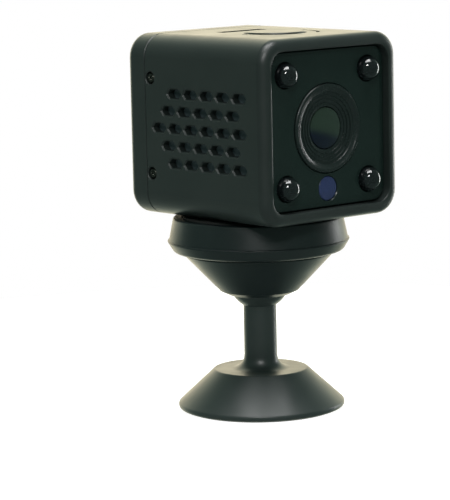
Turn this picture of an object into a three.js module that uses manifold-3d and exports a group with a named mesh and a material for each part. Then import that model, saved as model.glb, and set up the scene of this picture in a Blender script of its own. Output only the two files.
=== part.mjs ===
// Cube security camera on a ball-joint stand.
// Millimetres, +Z up, origin at the centre of the foot's underside, lens looking along -Y.
import * as THREE from 'three';
import { mergeVertices } from 'three/addons/utils/BufferGeometryUtils.js';
import Module from 'manifold-3d';

const wasm = await Module();
wasm.setup();

// ---- Clearances ----
const gap = 0.3; // between pieces that touch
const boreClearance = 0.25; // round a screw or a pin

// ---- Cube: a rounded square tube along Y ----
const bodyWidth = 38;
const bodyHeight = 38;
const bodyDepth = 42.6;
const bodyCorner = 5;
const bodyEdge = 2; // rounding of the front and rear edges
const bodyWall = 1.8;
const rearCoverDepth = 6;
const lipDepth = 1.4; // the rear cover's lip inside the shell
const lipWall = 1.2;

// ---- Front panel, set back inside the rim ----
const rimWidth = 2.6;
const rimCorner = 3.2;
const rimDepth = 1.5;
const panelThickness = 1.4;
const ledgeWidth = 1.5;
const ledgeDepth = 0.8;

// ---- Infrared lamps and light sensor ----
const ledRadius = 2.5;
const ledProud = 0.2; // dome centre in front of the panel
const ledFlangeWidth = 0.4;
const ledMargin = 0.2; // flange to ledge, past the gap
const ledFlangeDepth = 0.8;
const ledBoardDepth = 1;
const sensorBridge = 0.15; // panel left between the lens and the window
const sensorWindowRadius = 2.5;
const sensorWindowDepth = 1.2;
const lightCellRadius = 2.1;
const lightCellDepth = 0.7;

// ---- Lens ----
const bezelWall = 2.85; // round the barrel
const bezelProud = 0.4;
const bezelLand = 0.9; // flat front ring
const bezelStepDepth = 0.35;
const bezelMouth = 4.7;
const bezelLip = 0.3;
const barrelRadius = 6;
const barrelLength = 10.1;
const frontLensRadius = 4.2;
const frontLensDepth = 2.2;
const frontLensProud = 0.9; // ahead of the barrel, through the ring's mouth
const rearLensRadius = 3.3;
const rearLensDepth = 1.2;
const lensBore = 3;
const holderWall = 1.2; // round the barrel
const holderDepth = 6.1;
const filterSize = 7;
const filterDepth = 0.4;
const chipWidth = 7.6;
const chipHeight = 6.6;
const chipDepth = 0.9;
const sensorBoardWidth = 17;
const sensorBoardDepth = 1;

// ---- Side vents: rows of flat hexagons ----
const ventLength = 4.3;
const ventHeight = 1.9;
const ventPoint = 0.8; // length of the slanted ends
const ventPitch = 5;
const ventRowPitch = 3.63;
const ventCentreY = -1.4; // middle of the long row
const ventCentreZ = -0.25;
const ventRows = [5, 5, 6, 5, 5]; // holes in each row, bottom to top
const ventStagger = 2; // every second row, towards the rear

// ---- Side screws ----
const sideScrewInset = 1.6; // ahead of the seam
const sideScrewSpread = 10;
const sideScrewHead = 1.15;
const sideScrewHeadDepth = 0.9;
const sideScrewShank = 0.6;
const sideScrewLength = 4.2;
const crossLength = 1.5;
const crossWidth = 0.35;
const crossDepth = 0.4;
const earThickness = 2.5;
const earHeight = 5;
const earReach = 4; // ahead of the seam

// ---- Top: button, card slot, status light, sound groove ----
const buttonY = -4.6;
const buttonRadius = 6.2;
const buttonProud = 0.3;
const buttonDepth = 2.7;
const buttonLugReach = 0.9;
const buttonLugWidth = 2.4;
const buttonLugDepth = 0.8;
const buttonPost = 1.6;
const buttonTravel = 0.4;
const cardWidth = 11;
const cardThickness = 0.7;
const cardLength = 15;
const cardY = 5.8;
const cardSunk = 0.3;
const cardClearance = 0.2;
const cardSocketWall = 0.6;
const cardSocketLength = 12.5;
const pinholeX = -7.8;
const pinholeY = -3.8;
const pinholeRadius = 0.5;
const grooveRadius = 8.9;
const grooveWidth = 0.7;
const grooveDepth = 0.8;
const grooveStart = -50; // degrees about the button, from +X
const grooveEnd = 35;

// ---- Boards and what they carry ----
const boardThickness = 0.8;
const buttonBoardWidth = 20;
const buttonBoardLength = 12;
const switchBody = 6;
const switchHeight = 3;
const switchStem = 1.5;
const statusLampSize = [1.6, 0.8, 0.6];
const microphoneRadius = 2;
const microphoneHeight = 4.8;
const mainBoardSize = 30;
const mainBoardY = 3;
const mainBoardThickness = 1;
const boardPost = 3.4;
const boardPostSpread = 12.2;
const boardPostLength = 6;
const boardScrewHead = 1.5;
const boardScrewHeadDepth = 1.1;
const boardScrewShank = 0.6;
const boardScrewLength = 4;
const shieldSize = [16, 1.6, 14];
const batterySize = [26.5, 6, 28];
const antennaSize = [4.4, 22, 0.4];
const rearBoardSize = [18, 0.8, 28];
const usbWidth = 7.6;
const usbHeight = 2.8;
const usbDepth = 5.4;
const usbWall = 0.4;
const usbDrop = 9;
const usbTongue = [3.6, 3.4, 0.7];
const resetRise = 8;
const resetBody = 4.4;
const resetBodyDepth = 1.9;
const resetPlungerRadius = 0.8;
const resetPlungerLength = 1.3;
const resetPinhole = 0.7;
const steelPlateSize = [24, 24, 0.8];

// ---- Stand ----
const footRadius = 17.65;
const footLift = 0.25; // rim above the pad's underside
const footRimHeight = 1.6;
const footTopRadius = 10.3;
const footHeight = 8.55;
const footFillet = 2.8;
const footPadMargin = 0.05; // rim's flat face round the pad, past the gap
const footPadThickness = 1;
const footBoss = 5;
const weightRadius = 11;
const weightThickness = 3.4;
const stemRadius = 3.48;
const stemFootRadius = 3.5;
const stemSocketDepth = 4;
const stemScrewHead = 3;
const stemScrewHeadDepth = 2.1;
const stemScrewShank = 1.4;
const stemScrewLength = 10;
const ballRadius = 6.6;
const ballCentre = 27.7; // above the foot's underside
const seatWall = 0.55;
const seatAngle = 62; // degrees down from the top of the ball

const nutLipWall = 2.15; // round the ball, at the bottom
const nutChamfer = 0.8; // rise of the slanted bottom
const nutTopRadius = 15.75;
const nutBottom = -3.2; // heights from the ball's centre
const nutTop = 5.8;
const nutLip = 0.7;
const neckWall = 1.4;
const neckBottom = 2;
const cupLipRadius = 18.4;
const cupRadius = 19.2;
const cupTopRadius = 18;
const cupLipHeight = 0.7;
const cupShoulder = 2.1; // bottom to the widest place
const cupHeight = 7.4;
const magnetInner = 8;
const magnetOuter = 14;
const magnetThickness = 2.6;
const padRadius = 15.9;
const padThickness = 1.2;
const padProud = 0.3;
const cubeOffset = [0.93, -0.8]; // the cube sits a little off the disc's centre, as a hand sets it down

// ---- Places that follow from the sizes (cube pieces are placed from the cube's centre) ----
const frontY = -bodyDepth / 2;
const rearY = bodyDepth / 2;
const seamY = rearY - rearCoverDepth;
const panelFront = frontY + rimDepth;
const panelBack = panelFront + panelThickness;
const ledgeFront = panelBack + gap;
const ledgeBack = ledgeFront + ledgeDepth;
const ledBoardFront = ledgeBack + gap;
const innerHalfWidth = bodyWidth / 2 - bodyWall;
const innerHalfHeight = bodyHeight / 2 - bodyWall;
const innerCorner = bodyCorner - bodyWall;
const ledgeInset = rimWidth + ledgeWidth;
const ledFlangeRadius = ledRadius + ledFlangeWidth;
const ledInset = ledgeInset + gap + ledFlangeRadius + ledMargin; // lamp axis from the cube's side
const bezelRadius = barrelRadius + gap + bezelWall;
const sensorDrop = bezelRadius + sensorWindowRadius + 2 * gap + sensorBridge; // below the lens axis
const holderWidth = 2 * (barrelRadius + gap + holderWall);
const topInside = innerHalfHeight;
const topOutside = bodyHeight / 2;
const barrelFront = panelFront - bezelProud + 2 * bezelStepDepth + bezelLip + gap;
const barrelBack = barrelFront + barrelLength;
const cupBottom = ballCentre + nutTop + gap;
const cupTop = cupBottom + cupHeight;
const padTop = cupTop + padProud;
const padBottom = padTop - padThickness;
const cubeCentre = padTop + gap + bodyHeight / 2;
const nutSeatRadius = ballRadius + gap;
const nutMouth = Math.sqrt(nutSeatRadius ** 2 - nutBottom ** 2);
const socketRadius = ballRadius + 2 * (gap + seatWall) + gap;
const neckRadius = socketRadius + neckWall;
const footPadRadius = footRadius - footRimHeight / 2 - gap - footPadMargin;
const buttonTop = topOutside + buttonProud;
const buttonLugTop = topInside - gap;
const buttonPostBottom = buttonTop - buttonDepth - buttonLugDepth - 0.7;
const switchTop = buttonPostBottom - buttonTravel - 0.1;
const buttonBoardTop = switchTop - switchStem - switchHeight - gap;

// ---- Finishes ----
const finishes = {
  blackShell: { color: 0x23282a, roughness: 0.5, metalness: 0 },
  blackPanel: { color: 0x14191b, roughness: 0.22, metalness: 0 },
  blackStand: { color: 0x2c3332, roughness: 0.42, metalness: 0 },
  rubber: { color: 0x1b1c1c, roughness: 0.85, metalness: 0 },
  nylon: { color: 0xd8d4c8, roughness: 0.5, metalness: 0 },
  steel: { color: 0xb6b8ba, roughness: 0.35, metalness: 1 },
  magnet: { color: 0x8f9195, roughness: 0.3, metalness: 1 },
  blackScrew: { color: 0x2a2a2a, roughness: 0.4, metalness: 1 },
  smokedEpoxy: { color: 0x1d2325, roughness: 0.05, metalness: 0 },
  clearAcrylic: { color: 0xe6ecec, roughness: 0.1, metalness: 0 },
  lensGlass: { color: 0x2a3550, roughness: 0.03, metalness: 0 },
  blueWindow: { color: 0x232d4b, roughness: 0.1, metalness: 0 },
  sensorCell: { color: 0xb46a3c, roughness: 0.6, metalness: 0 },
  silicon: { color: 0x33373d, roughness: 0.2, metalness: 0.4 },
  circuitBoard: { color: 0x1f5a35, roughness: 0.5, metalness: 0 },
  whitePlastic: { color: 0xe8e8e4, roughness: 0.5, metalness: 0 },
  batteryFoil: { color: 0xc4c7c9, roughness: 0.35, metalness: 0.8 },
};

/** One material of its own for each mesh. */
function finish(name) {
  return new THREE.MeshStandardMaterial(finishes[name]);
}

// ---- Solids ----

/** Merges shared corners, drops slivers without area and turns the faces outwards. */
function solidFrom(geometry) {
  const bare = geometry.index ? geometry : geometry.clone();
  bare.deleteAttribute('normal');
  bare.deleteAttribute('uv');
  const merged = mergeVertices(bare, 1e-4);
  const points = merged.attributes.position.array;
  const triangles = [];
  let volume = 0;
  for (let i = 0; i < merged.index.count; i += 3) {
    const [a, b, c] = [0, 1, 2].map((k) => merged.index.getX(i + k));
    if (a === b || b === c || c === a) continue;
    const [p, q, r] = [a, b, c].map((k) => new THREE.Vector3().fromArray(points, 3 * k));
    volume += p.dot(q.cross(r));
    triangles.push(a, b, c);
  }
  if (volume < 0) triangles.reverse();
  return new wasm.Manifold(new wasm.Mesh({
    numProp: 3,
    vertProperties: new Float32Array(points),
    triVerts: new Uint32Array(triangles),
  }));
}

/** A named mesh from a finished solid. */
function piece(name, solid, finishName) {
  const mesh = solid.getMesh();
  const geometry = new THREE.BufferGeometry();
  geometry.setAttribute('position', new THREE.BufferAttribute(new Float32Array(mesh.vertProperties), 3));
  geometry.setIndex(new THREE.BufferAttribute(new Uint32Array(mesh.triVerts), 1));
  geometry.computeVertexNormals();
  const result = new THREE.Mesh(geometry, finish(finishName));
  result.name = name;
  return result;
}

/** A box from its size and its centre. */
function block([width, depth, height], [x, y, z]) {
  return solidFrom(new THREE.BoxGeometry(width, depth, height).translate(x, y, z));
}

/** A round bar along an axis ('x', 'y' or 'z') from one place on it to another. */
function rod(radius, axis, from, to, [x, y, z] = [0, 0, 0], sides = 16) {
  const geometry = new THREE.CylinderGeometry(radius, radius, to - from, sides);
  if (axis === 'x') geometry.rotateZ(-Math.PI / 2);
  if (axis === 'z') geometry.rotateX(Math.PI / 2);
  const middle = { x: 0, y: 0, z: 0, [axis]: (from + to) / 2 };
  return solidFrom(geometry.translate(x + middle.x, y + middle.y, z + middle.z));
}

/** Turns an outline of [radius, height] points about the vertical axis. */
function turnedUpright(outline, sides = 32) {
  return solidFrom(lathe(outline, sides).rotateX(Math.PI / 2));
}

/** Turns an outline of [radius, y] points about the lens axis. */
function turnedOnLens(outline, sides = 28) {
  return solidFrom(lathe(outline, sides));
}

function lathe(outline, sides) {
  const closed = [...outline, outline[0]].map(([radius, along]) => new THREE.Vector2(radius, along));
  return new THREE.LatheGeometry(closed, sides);
}

/** Points of an arc about [x, y], in degrees from +X, ends included. */
function arc([x, y], radius, start, end, steps) {
  const points = [];
  for (let i = 0; i <= steps; i += 1) {
    const angle = THREE.MathUtils.degToRad(start + ((end - start) * i) / steps);
    points.push([x + radius * Math.cos(angle), y + radius * Math.sin(angle)]);
  }
  return points;
}

function shapeOf(outline) {
  return new THREE.Shape(outline.map(([x, y]) => new THREE.Vector2(x, y)));
}

/** Outline of a rounded rectangle about the origin. */
function roundedOutline(width, height, corner, steps = 4) {
  const x = width / 2 - corner;
  const y = height / 2 - corner;
  return [
    ...arc([x, y], corner, 0, 90, steps),
    ...arc([-x, y], corner, 90, 180, steps),
    ...arc([-x, -y], corner, 180, 270, steps),
    ...arc([x, -y], corner, 270, 360, steps),
  ];
}

/** An outline in X and Z, drawn out along Y. */
function alongY(outline, from, to) {
  const geometry = new THREE.ExtrudeGeometry(shapeOf(outline), { depth: to - from, bevelEnabled: false });
  return solidFrom(geometry.rotateX(Math.PI / 2).translate(0, to, 0));
}

/** The same, with both end edges rounded. */
function roundedAlongY(outline, from, to, edge, steps = 3) {
  const geometry = new THREE.ExtrudeGeometry(shapeOf(outline), {
    depth: to - from - 2 * edge,
    bevelThickness: edge,
    bevelSize: edge,
    bevelOffset: -edge,
    bevelSegments: steps,
  });
  return solidFrom(geometry.rotateX(Math.PI / 2).translate(0, to - edge, 0));
}

/** An outline in Y and Z, drawn out along X. */
function alongX(outline, from, to) {
  const geometry = new THREE.ExtrudeGeometry(shapeOf(outline), { depth: to - from, bevelEnabled: false });
  return solidFrom(geometry.rotateX(Math.PI / 2).rotateZ(Math.PI / 2).translate(from, 0, 0));
}

/** An outline in X and Y, drawn out along Z. */
function alongZ(outline, from, to) {
  const geometry = new THREE.ExtrudeGeometry(shapeOf(outline), { depth: to - from, bevelEnabled: false });
  return solidFrom(geometry.translate(0, 0, from));
}

function cutAll(solid, cutters) {
  return cutters.reduce((left, cutter) => left.subtract(cutter), solid);
}

// ---- Stand ----

/** Conical foot: open below for the pad and the weight, socket on top for the stem. */
function footShell() {
  const recess = footLift + footPadThickness;
  const weightCavity = recess + weightThickness + 2 * gap;
  const socketFloor = footHeight - stemSocketDepth;
  const stemSocket = stemFootRadius + gap;
  const headPocket = stemScrewHead + gap;
  const screwSeat = recess + stemScrewHeadDepth + gap;
  const rim = footRimHeight / 2;
  const filletRadius = stemSocket + 0.4 + footFillet;
  return turnedUpright([
    [stemScrewShank + boreClearance, screwSeat],
    [headPocket, screwSeat],
    [headPocket, recess],
    [footBoss, recess],
    [footBoss, weightCavity],
    [weightRadius + gap, weightCavity],
    [weightRadius + gap, recess],
    [footPadRadius + gap, recess],
    [footPadRadius + gap, footLift],
    ...arc([footRadius - rim, footLift + rim], rim, -90, 40, 3),
    ...arc([footTopRadius - 0.5, footHeight - 0.5], 0.5, 40, 90, 2),
    ...arc([filletRadius, footHeight + footFillet], footFillet, 270, 185, 3),
    [stemSocket, footHeight + footFillet],
    [stemSocket, socketFloor],
    [stemScrewShank + boreClearance, socketFloor],
  ]);
}

function footPad() {
  return rod(footPadRadius, 'z', 0, footPadThickness, undefined, 32);
}

function footWeight() {
  const bottom = footLift + footPadThickness + gap;
  const inner = footBoss + gap;
  return turnedUpright([
    [inner, bottom],
    [weightRadius, bottom],
    [weightRadius, bottom + weightThickness],
    [inner, bottom + weightThickness],
  ], 24);
}

/** Post with its ball, bored below for the screw that holds it in the foot. */
function ballStem() {
  const bottom = footHeight - stemSocketDepth + gap;
  const screwBore = stemScrewShank + boreClearance;
  const boreTop = stemScrewTip() + gap;
  const neckAngle = THREE.MathUtils.radToDeg(Math.asin(stemRadius / ballRadius));
  return turnedUpright([
    [0, boreTop],
    [screwBore, boreTop],
    [screwBore, bottom],
    [stemFootRadius, bottom],
    [stemFootRadius, footHeight + footFillet],
    ...arc([0, ballCentre], ballRadius, neckAngle - 90, 90, 9),
  ], 24);
}

function stemScrewTip() {
  return footLift + footPadThickness + gap + stemScrewHeadDepth + stemScrewLength;
}

function stemScrew() {
  const bottom = footLift + footPadThickness + gap;
  const seat = bottom + stemScrewHeadDepth - gap;
  const head = rod(stemScrewHead, 'z', bottom, seat);
  const shank = rod(stemScrewShank, 'z', bottom + 0.5, stemScrewTip(), undefined, 12);
  return cutAll(head.add(shank), crossCutters('z', bottom, 2.6, 0.6, 0.5));
}

/** Bowl over the ball, open below. */
function ballSeat(innerRadius) {
  const outerRadius = innerRadius + seatWall;
  const centre = [0, ballCentre];
  return turnedUpright([
    ...arc(centre, innerRadius, 90, 90 - seatAngle, 4),
    ...arc(centre, outerRadius, 90 - seatAngle, 90, 4),
  ], 20);
}

/** Conical nut: its lip holds the ball from below, and its bore carries the thread. */
function lockNut() {
  const bottom = ballCentre + nutBottom;
  const top = ballCentre + nutTop;
  const lipAngle = THREE.MathUtils.radToDeg(Math.asin(nutBottom / nutSeatRadius));
  const bottomRadius = nutMouth + nutLipWall;
  const threadBore = neckRadius + gap;
  return turnedUpright([
    ...arc([0, ballCentre], nutSeatRadius, lipAngle, 0, 2),
    [threadBore, ballCentre + neckBottom - gap],
    [threadBore, top - 1.5],
    [threadBore + 1.2, top],
    [nutTopRadius - 0.4, top],
    [nutTopRadius, top - 0.4],
    [bottomRadius + nutLip / 2, bottom + nutChamfer + nutLip],
    [bottomRadius, bottom + nutChamfer],
    [nutMouth + 0.3, bottom],
  ]);
}

/** Wide disc with a split threaded neck below and an open recess above for magnet and pad. */
function socketCup() {
  const neckEnd = ballCentre + neckBottom;
  const socketTop = ballCentre + socketRadius;
  const neckStart = THREE.MathUtils.radToDeg(Math.asin(neckBottom / socketRadius));
  const magnetFloor = padBottom - magnetThickness - 2 * gap;
  const widest = cupBottom + cupShoulder;
  const round = 0.5;
  const body = turnedUpright([
    ...arc([0, ballCentre], socketRadius, 90, neckStart, 5),
    [neckRadius, neckEnd],
    [neckRadius, cupBottom],
    [cupLipRadius - cupLipHeight, cupBottom],
    [cupLipRadius, cupBottom + cupLipHeight],
    [cupRadius, widest],
    [cupRadius - 0.05, widest + 0.3],
    ...arc([cupTopRadius - round, cupTop - round], round, 20, 90, 2),
    [padRadius + gap, cupTop],
    [padRadius + gap, padBottom - gap],
    [0, padBottom - gap],
  ]);
  const magnetGroove = turnedUpright([
    [magnetInner - gap, magnetFloor],
    [magnetOuter + gap, magnetFloor],
    [magnetOuter + gap, padBottom],
    [magnetInner - gap, padBottom],
  ], 32);
  const slitHeight = cupBottom - neckEnd - gap;
  const slit = [3 * neckRadius, 0.8, slitHeight * 2];
  const alongSlit = block(slit, [0, 0, neckEnd]);
  const acrossSlit = block([slit[1], slit[0], slit[2]], [0, 0, neckEnd]);
  return cutAll(body, [magnetGroove, alongSlit, acrossSlit]);
}

function ringMagnet() {
  const top = padBottom - gap;
  return turnedUpright([
    [magnetInner, top - magnetThickness],
    [magnetOuter, top - magnetThickness],
    [magnetOuter, top],
    [magnetInner, top],
  ], 24);
}

function gripPad() {
  const round = 0.3;
  return turnedUpright([
    [0, padBottom],
    [padRadius, padBottom],
    ...arc([padRadius - round, padTop - round], round, 0, 90, 2),
    [0, padTop],
  ]);
}

// ---- Cube: casing ----

/** Two crossed cutters for a cross-head drive, sunk from a face along an axis. */
function crossCutters(axis, face, length, width, depth, [x, y, z] = [0, 0, 0]) {
  const middle = { x, y, z, [axis]: face };
  const centre = [middle.x, middle.y, middle.z];
  const slots = [[length, width], [width, length]];
  return slots.map(([across, up]) => {
    if (axis === 'z') return block([across, up, 2 * depth], centre);
    if (axis === 'y') return block([across, 2 * depth, up], centre);
    return block([2 * depth, across, up], centre);
  });
}

/** Hexagonal vents right across the cube, in staggered rows. */
function ventCutters() {
  const half = ventLength / 2;
  const flat = half - ventPoint;
  const rise = ventHeight / 2;
  const cutters = [];
  ventRows.forEach((count, row) => {
    const z = ventCentreZ + (row - (ventRows.length - 1) / 2) * ventRowPitch;
    const front = ventCentreY - ((Math.max(...ventRows) - 1) / 2) * ventPitch;
    for (let i = 0; i < count; i += 1) {
      const y = front + i * ventPitch + (row % 2) * ventStagger;
      const outline = [[half, 0], [flat, rise], [-flat, rise], [-half, 0], [-flat, -rise], [flat, -rise]];
      const placed = outline.map(([along, up]) => [y + along, z + up]);
      cutters.push(alongX(placed, -bodyWidth, bodyWidth));
    }
  });
  return cutters;
}

/** Places of the side screws: the side, and the height. */
function sideScrewPlaces() {
  return [[-1, 1], [-1, -1], [1, 1], [1, -1]].map(([side, up]) => ({ side, z: up * sideScrewSpread }));
}

const sideScrewY = seamY - sideScrewInset;

/** Recess for the head, and the hole for the shank. */
function sideScrewCutters() {
  return sideScrewPlaces().flatMap(({ side, z }) => {
    const outside = side * (bodyWidth / 2);
    const floor = side * (bodyWidth / 2 - sideScrewHeadDepth - gap);
    const inside = side * (innerHalfWidth - 1);
    const at = [0, sideScrewY, z];
    return [
      rod(sideScrewHead + 0.2, 'x', Math.min(floor, outside + side), Math.max(floor, outside + side), at, 12),
      rod(sideScrewShank + boreClearance, 'x', Math.min(inside, outside), Math.max(inside, outside), at, 8),
    ];
  });
}

/** Curved sound groove beside the button. */
function soundGroove() {
  const inner = arc([0, buttonY], grooveRadius - grooveWidth / 2, grooveEnd, grooveStart, 8);
  const outer = arc([0, buttonY], grooveRadius + grooveWidth / 2, grooveStart, grooveEnd, 8);
  return alongZ([...outer, ...inner], topOutside - grooveDepth, topOutside + 1);
}

function cardSlot() {
  const size = [cardWidth + 2 * cardClearance, cardThickness + 2 * cardClearance, 2 * bodyWall];
  return block(size, [0, cardY, topOutside - bodyWall / 2]);
}

function boardPosts() {
  const back = mainBoardY - gap;
  const reach = boardPost + 0.2; // let into the wall
  const posts = [];
  for (const side of [-1, 1]) {
    const x = side * (innerHalfWidth + 0.2 - reach / 2);
    const centre = [x, back - boardPostLength / 2, side * boardPostSpread];
    const post = block([reach, boardPostLength, boardPost], centre);
    const bore = rod(boardScrewShank + boreClearance, 'y', back - boardScrewLength - gap, back + 1,
      [boardScrewX(side), 0, side * boardPostSpread], 8);
    posts.push(post.subtract(bore));
  }
  return posts;
}

function boardScrewX(side) {
  return side * (innerHalfWidth - boardPost / 2);
}

/** Rounded square tube, open behind, with a rim and a ledge in front. */
function mainShell() {
  const outline = roundedOutline(bodyWidth, bodyHeight, bodyCorner);
  const end = seamY - gap / 2;
  const outer = roundedAlongY(outline, frontY, rearY, bodyEdge)
    .subtract(block([2 * bodyWidth, bodyDepth, 2 * bodyHeight], [0, end + bodyDepth / 2, 0]));
  const rimOpening = roundedOutline(bodyWidth - 2 * rimWidth, bodyHeight - 2 * rimWidth, rimCorner);
  const ledgeOpening = roundedOutline(bodyWidth - 2 * ledgeInset, bodyHeight - 2 * ledgeInset, rimCorner);
  const inside = roundedOutline(2 * innerHalfWidth, 2 * innerHalfHeight, innerCorner);
  const hollow = cutAll(outer, [
    alongY(rimOpening, frontY - 1, ledgeFront),
    alongY(ledgeOpening, ledgeFront - 0.5, ledgeBack + 0.5),
    alongY(inside, ledgeBack, rearY),
  ]);
  const posted = boardPosts().reduce((solid, post) => solid.add(post), hollow);
  return cutAll(posted, [
    ...ventCutters(),
    ...sideScrewCutters(),
    rod(buttonRadius + gap, 'z', topInside - 1, topOutside + 1, [0, buttonY, 0], 28),
    rod(pinholeRadius, 'z', topInside - 1, topOutside + 1, [pinholeX, pinholeY, 0], 12),
    cardSlot(),
    soundGroove(),
  ]);
}

/** Outline of the shell's inside, drawn in by an inset. */
function insideOutline(inset) {
  return roundedOutline(2 * (innerHalfWidth - inset), 2 * (innerHalfHeight - inset), innerCorner - gap);
}

/** Rear cover with its lip and four screw ears inside the shell, and the openings behind. */
function rearCover() {
  const outline = roundedOutline(bodyWidth, bodyHeight, bodyCorner);
  const start = seamY + gap / 2;
  const cap = roundedAlongY(outline, frontY, rearY, bodyEdge)
    .subtract(block([2 * bodyWidth, bodyDepth, 2 * bodyHeight], [0, start - bodyDepth / 2, 0]));
  const lip = alongY(insideOutline(gap), seamY - lipDepth, start + 0.5);
  const hollow = alongY(insideOutline(gap + lipWall), seamY - lipDepth - 1, rearY - bodyWall);
  const ears = sideScrewPlaces().map(({ side, z }) => {
    const x = side * (innerHalfWidth - gap - earThickness / 2);
    return block([earThickness, earReach + 1, earHeight], [x, seamY + (1 - earReach) / 2, z]);
  });
  const bodied = ears.reduce((solid, ear) => solid.add(ear), cap.add(lip).subtract(hollow));
  const screwBore = sideScrewShank + boreClearance;
  const mouth = roundedOutline(usbWidth + 2 * gap, usbHeight + 2 * gap, 1, 3);
  return cutAll(bodied, [
    ...sideScrewPlaces().map(({ z }) => rod(screwBore, 'x', -bodyWidth, bodyWidth, [0, sideScrewY, z], 12)),
    alongY(mouth.map(([x, z]) => [x, z - usbDrop]), rearY - bodyWall - 1, rearY + 1),
    rod(resetPinhole, 'y', rearY - bodyWall - 1, rearY + 1, [0, 0, resetRise], 12),
  ]);
}

function sideScrew({ side, z }) {
  const outside = side * (bodyWidth / 2 - 0.1);
  const seat = outside - side * sideScrewHeadDepth;
  const tip = seat - side * sideScrewLength;
  const at = [0, sideScrewY, z];
  const head = rod(sideScrewHead, 'x', Math.min(seat, outside), Math.max(seat, outside), at, 12);
  const shankStart = seat + side * 0.3;
  const shank = rod(sideScrewShank, 'x', Math.min(tip, shankStart), Math.max(tip, shankStart), at, 8);
  const cross = crossCutters('x', outside, crossLength, crossWidth, crossDepth, at);
  return cutAll(head.add(shank), cross);
}

// ---- Cube: front ----

function ledPlaces() {
  const x = bodyWidth / 2 - ledInset;
  const z = bodyHeight / 2 - ledInset;
  return [[-x, z], [x, z], [-x, -z], [x, -z]];
}

function frontPanel() {
  const inset = 2 * (rimWidth + gap);
  const outline = roundedOutline(bodyWidth - inset, bodyHeight - inset, rimCorner - gap);
  const plate = alongY(outline, panelFront, panelBack);
  const through = [panelFront - 1, panelBack + 1];
  return cutAll(plate, [
    rod(bezelRadius + gap, 'y', ...through, undefined, 28),
    rod(sensorWindowRadius + gap, 'y', ...through, [0, 0, -sensorDrop]),
    ...ledPlaces().map(([x, z]) => rod(ledRadius + gap, 'y', ...through, [x, 0, z])),
  ]);
}

/** Ring whose front steps down towards the lens. */
function lensBezel() {
  const front = panelFront - bezelProud;
  const firstStep = front + bezelStepDepth;
  const secondStep = firstStep + bezelStepDepth;
  const lipBack = secondStep + bezelLip;
  const rearBore = barrelRadius + gap;
  return turnedOnLens([
    [bezelRadius, ledgeBack],
    [bezelRadius, front + 0.3],
    [bezelRadius - 0.3, front],
    [bezelRadius - bezelLand, front],
    [bezelRadius - 2 * bezelLand, firstStep],
    [rearBore + 0.5, firstStep],
    [rearBore - 0.2, secondStep],
    [bezelMouth, secondStep],
    [bezelMouth, lipBack],
    [rearBore, lipBack],
    [rearBore, ledgeBack],
  ]);
}

/** Clear lamp: round body, domed in front, with a flange behind. */
function lamp([x, z]) {
  const domeCentre = panelFront - ledProud;
  const back = ledBoardFront - gap;
  const outline = [
    [0, back],
    [ledFlangeRadius, back],
    [ledFlangeRadius, back - ledFlangeDepth],
    [ledRadius, back - ledFlangeDepth],
    ...arc([0, domeCentre], ledRadius, 0, -90, 4),
  ];
  return turnedOnLens(outline, 16).translate([x, 0, z]);
}

function ledBoard() {
  const board = alongY(insideOutline(2 * gap), ledBoardFront, ledBoardFront + ledBoardDepth);
  return board.subtract(rod(barrelRadius + 2 * gap, 'y', frontY, 0));
}

function sensorWindow() {
  const front = panelFront + 0.1;
  return rod(sensorWindowRadius, 'y', front, front + sensorWindowDepth, [0, 0, -sensorDrop]);
}

function lightSensor() {
  const back = ledBoardFront - gap;
  return rod(lightCellRadius, 'y', back - lightCellDepth, back, [0, 0, -sensorDrop]);
}

// ---- Cube: lens and image sensor ----

function lensBarrel() {
  const frontSeat = barrelFront - frontLensProud + frontLensDepth + gap;
  const rearSeat = barrelBack - rearLensDepth - 2 * gap;
  const frontBore = frontLensRadius + gap;
  const rearBore = rearLensRadius + gap;
  return turnedOnLens([
    [frontBore, barrelFront],
    [barrelRadius, barrelFront],
    [barrelRadius, barrelBack],
    [rearBore, barrelBack],
    [rearBore, rearSeat],
    [lensBore, rearSeat],
    [lensBore, frontSeat],
    [frontBore, frontSeat],
  ], 24);
}

function lensElement(radius, vertex, bulge, depth) {
  const crown = [];
  for (let i = 0; i <= 3; i += 1) {
    const share = i / 3;
    crown.push([radius * share, vertex + bulge * share * share]);
  }
  return turnedOnLens([...crown, [radius, vertex + depth], [0, vertex + depth]], 24);
}

function frontLens() {
  return lensElement(frontLensRadius, barrelFront - frontLensProud, 0.6, frontLensDepth);
}

function rearLens() {
  return lensElement(rearLensRadius, barrelBack - rearLensDepth - gap, 0.4, rearLensDepth);
}

/** Square block round the barrel, hollow behind for the filter and the image sensor. */
function lensHolder() {
  const front = holderBack() - holderDepth;
  const body = block([holderWidth, holderDepth, holderWidth], [0, front + holderDepth / 2, 0]);
  const room = chipWidth + 2 * gap;
  return cutAll(body, [
    rod(barrelRadius + gap, 'y', front - 1, barrelBack + gap, undefined, 24),
    block([room, holderDepth, room], [0, barrelBack + holderDepth / 2, 0]),
  ]);
}

function holderBack() {
  return barrelBack + gap + 2.4;
}

function filterGlass() {
  const front = barrelBack + gap;
  return block([filterSize, filterDepth, filterSize], [0, front + filterDepth / 2, 0]);
}

function imageSensor() {
  const back = holderBack();
  return block([chipWidth, chipDepth, chipHeight], [0, back - chipDepth / 2, 0]);
}

function sensorBoard() {
  const front = holderBack() + gap;
  const size = [sensorBoardWidth, sensorBoardDepth, sensorBoardWidth];
  return block(size, [0, front + sensorBoardDepth / 2, 0]);
}

// ---- Cube: boards, battery and sockets ----

function mainBoard() {
  const size = [2 * innerHalfWidth - 4 * gap, mainBoardThickness, mainBoardSize];
  const board = block(size, [0, mainBoardY + mainBoardThickness / 2, 0]);
  const holes = [-1, 1].map((side) => rod(boardScrewShank + boreClearance, 'y', mainBoardY - 1,
    mainBoardY + mainBoardThickness + 1, [boardScrewX(side), 0, side * boardPostSpread], 12));
  return cutAll(board, holes);
}

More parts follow.
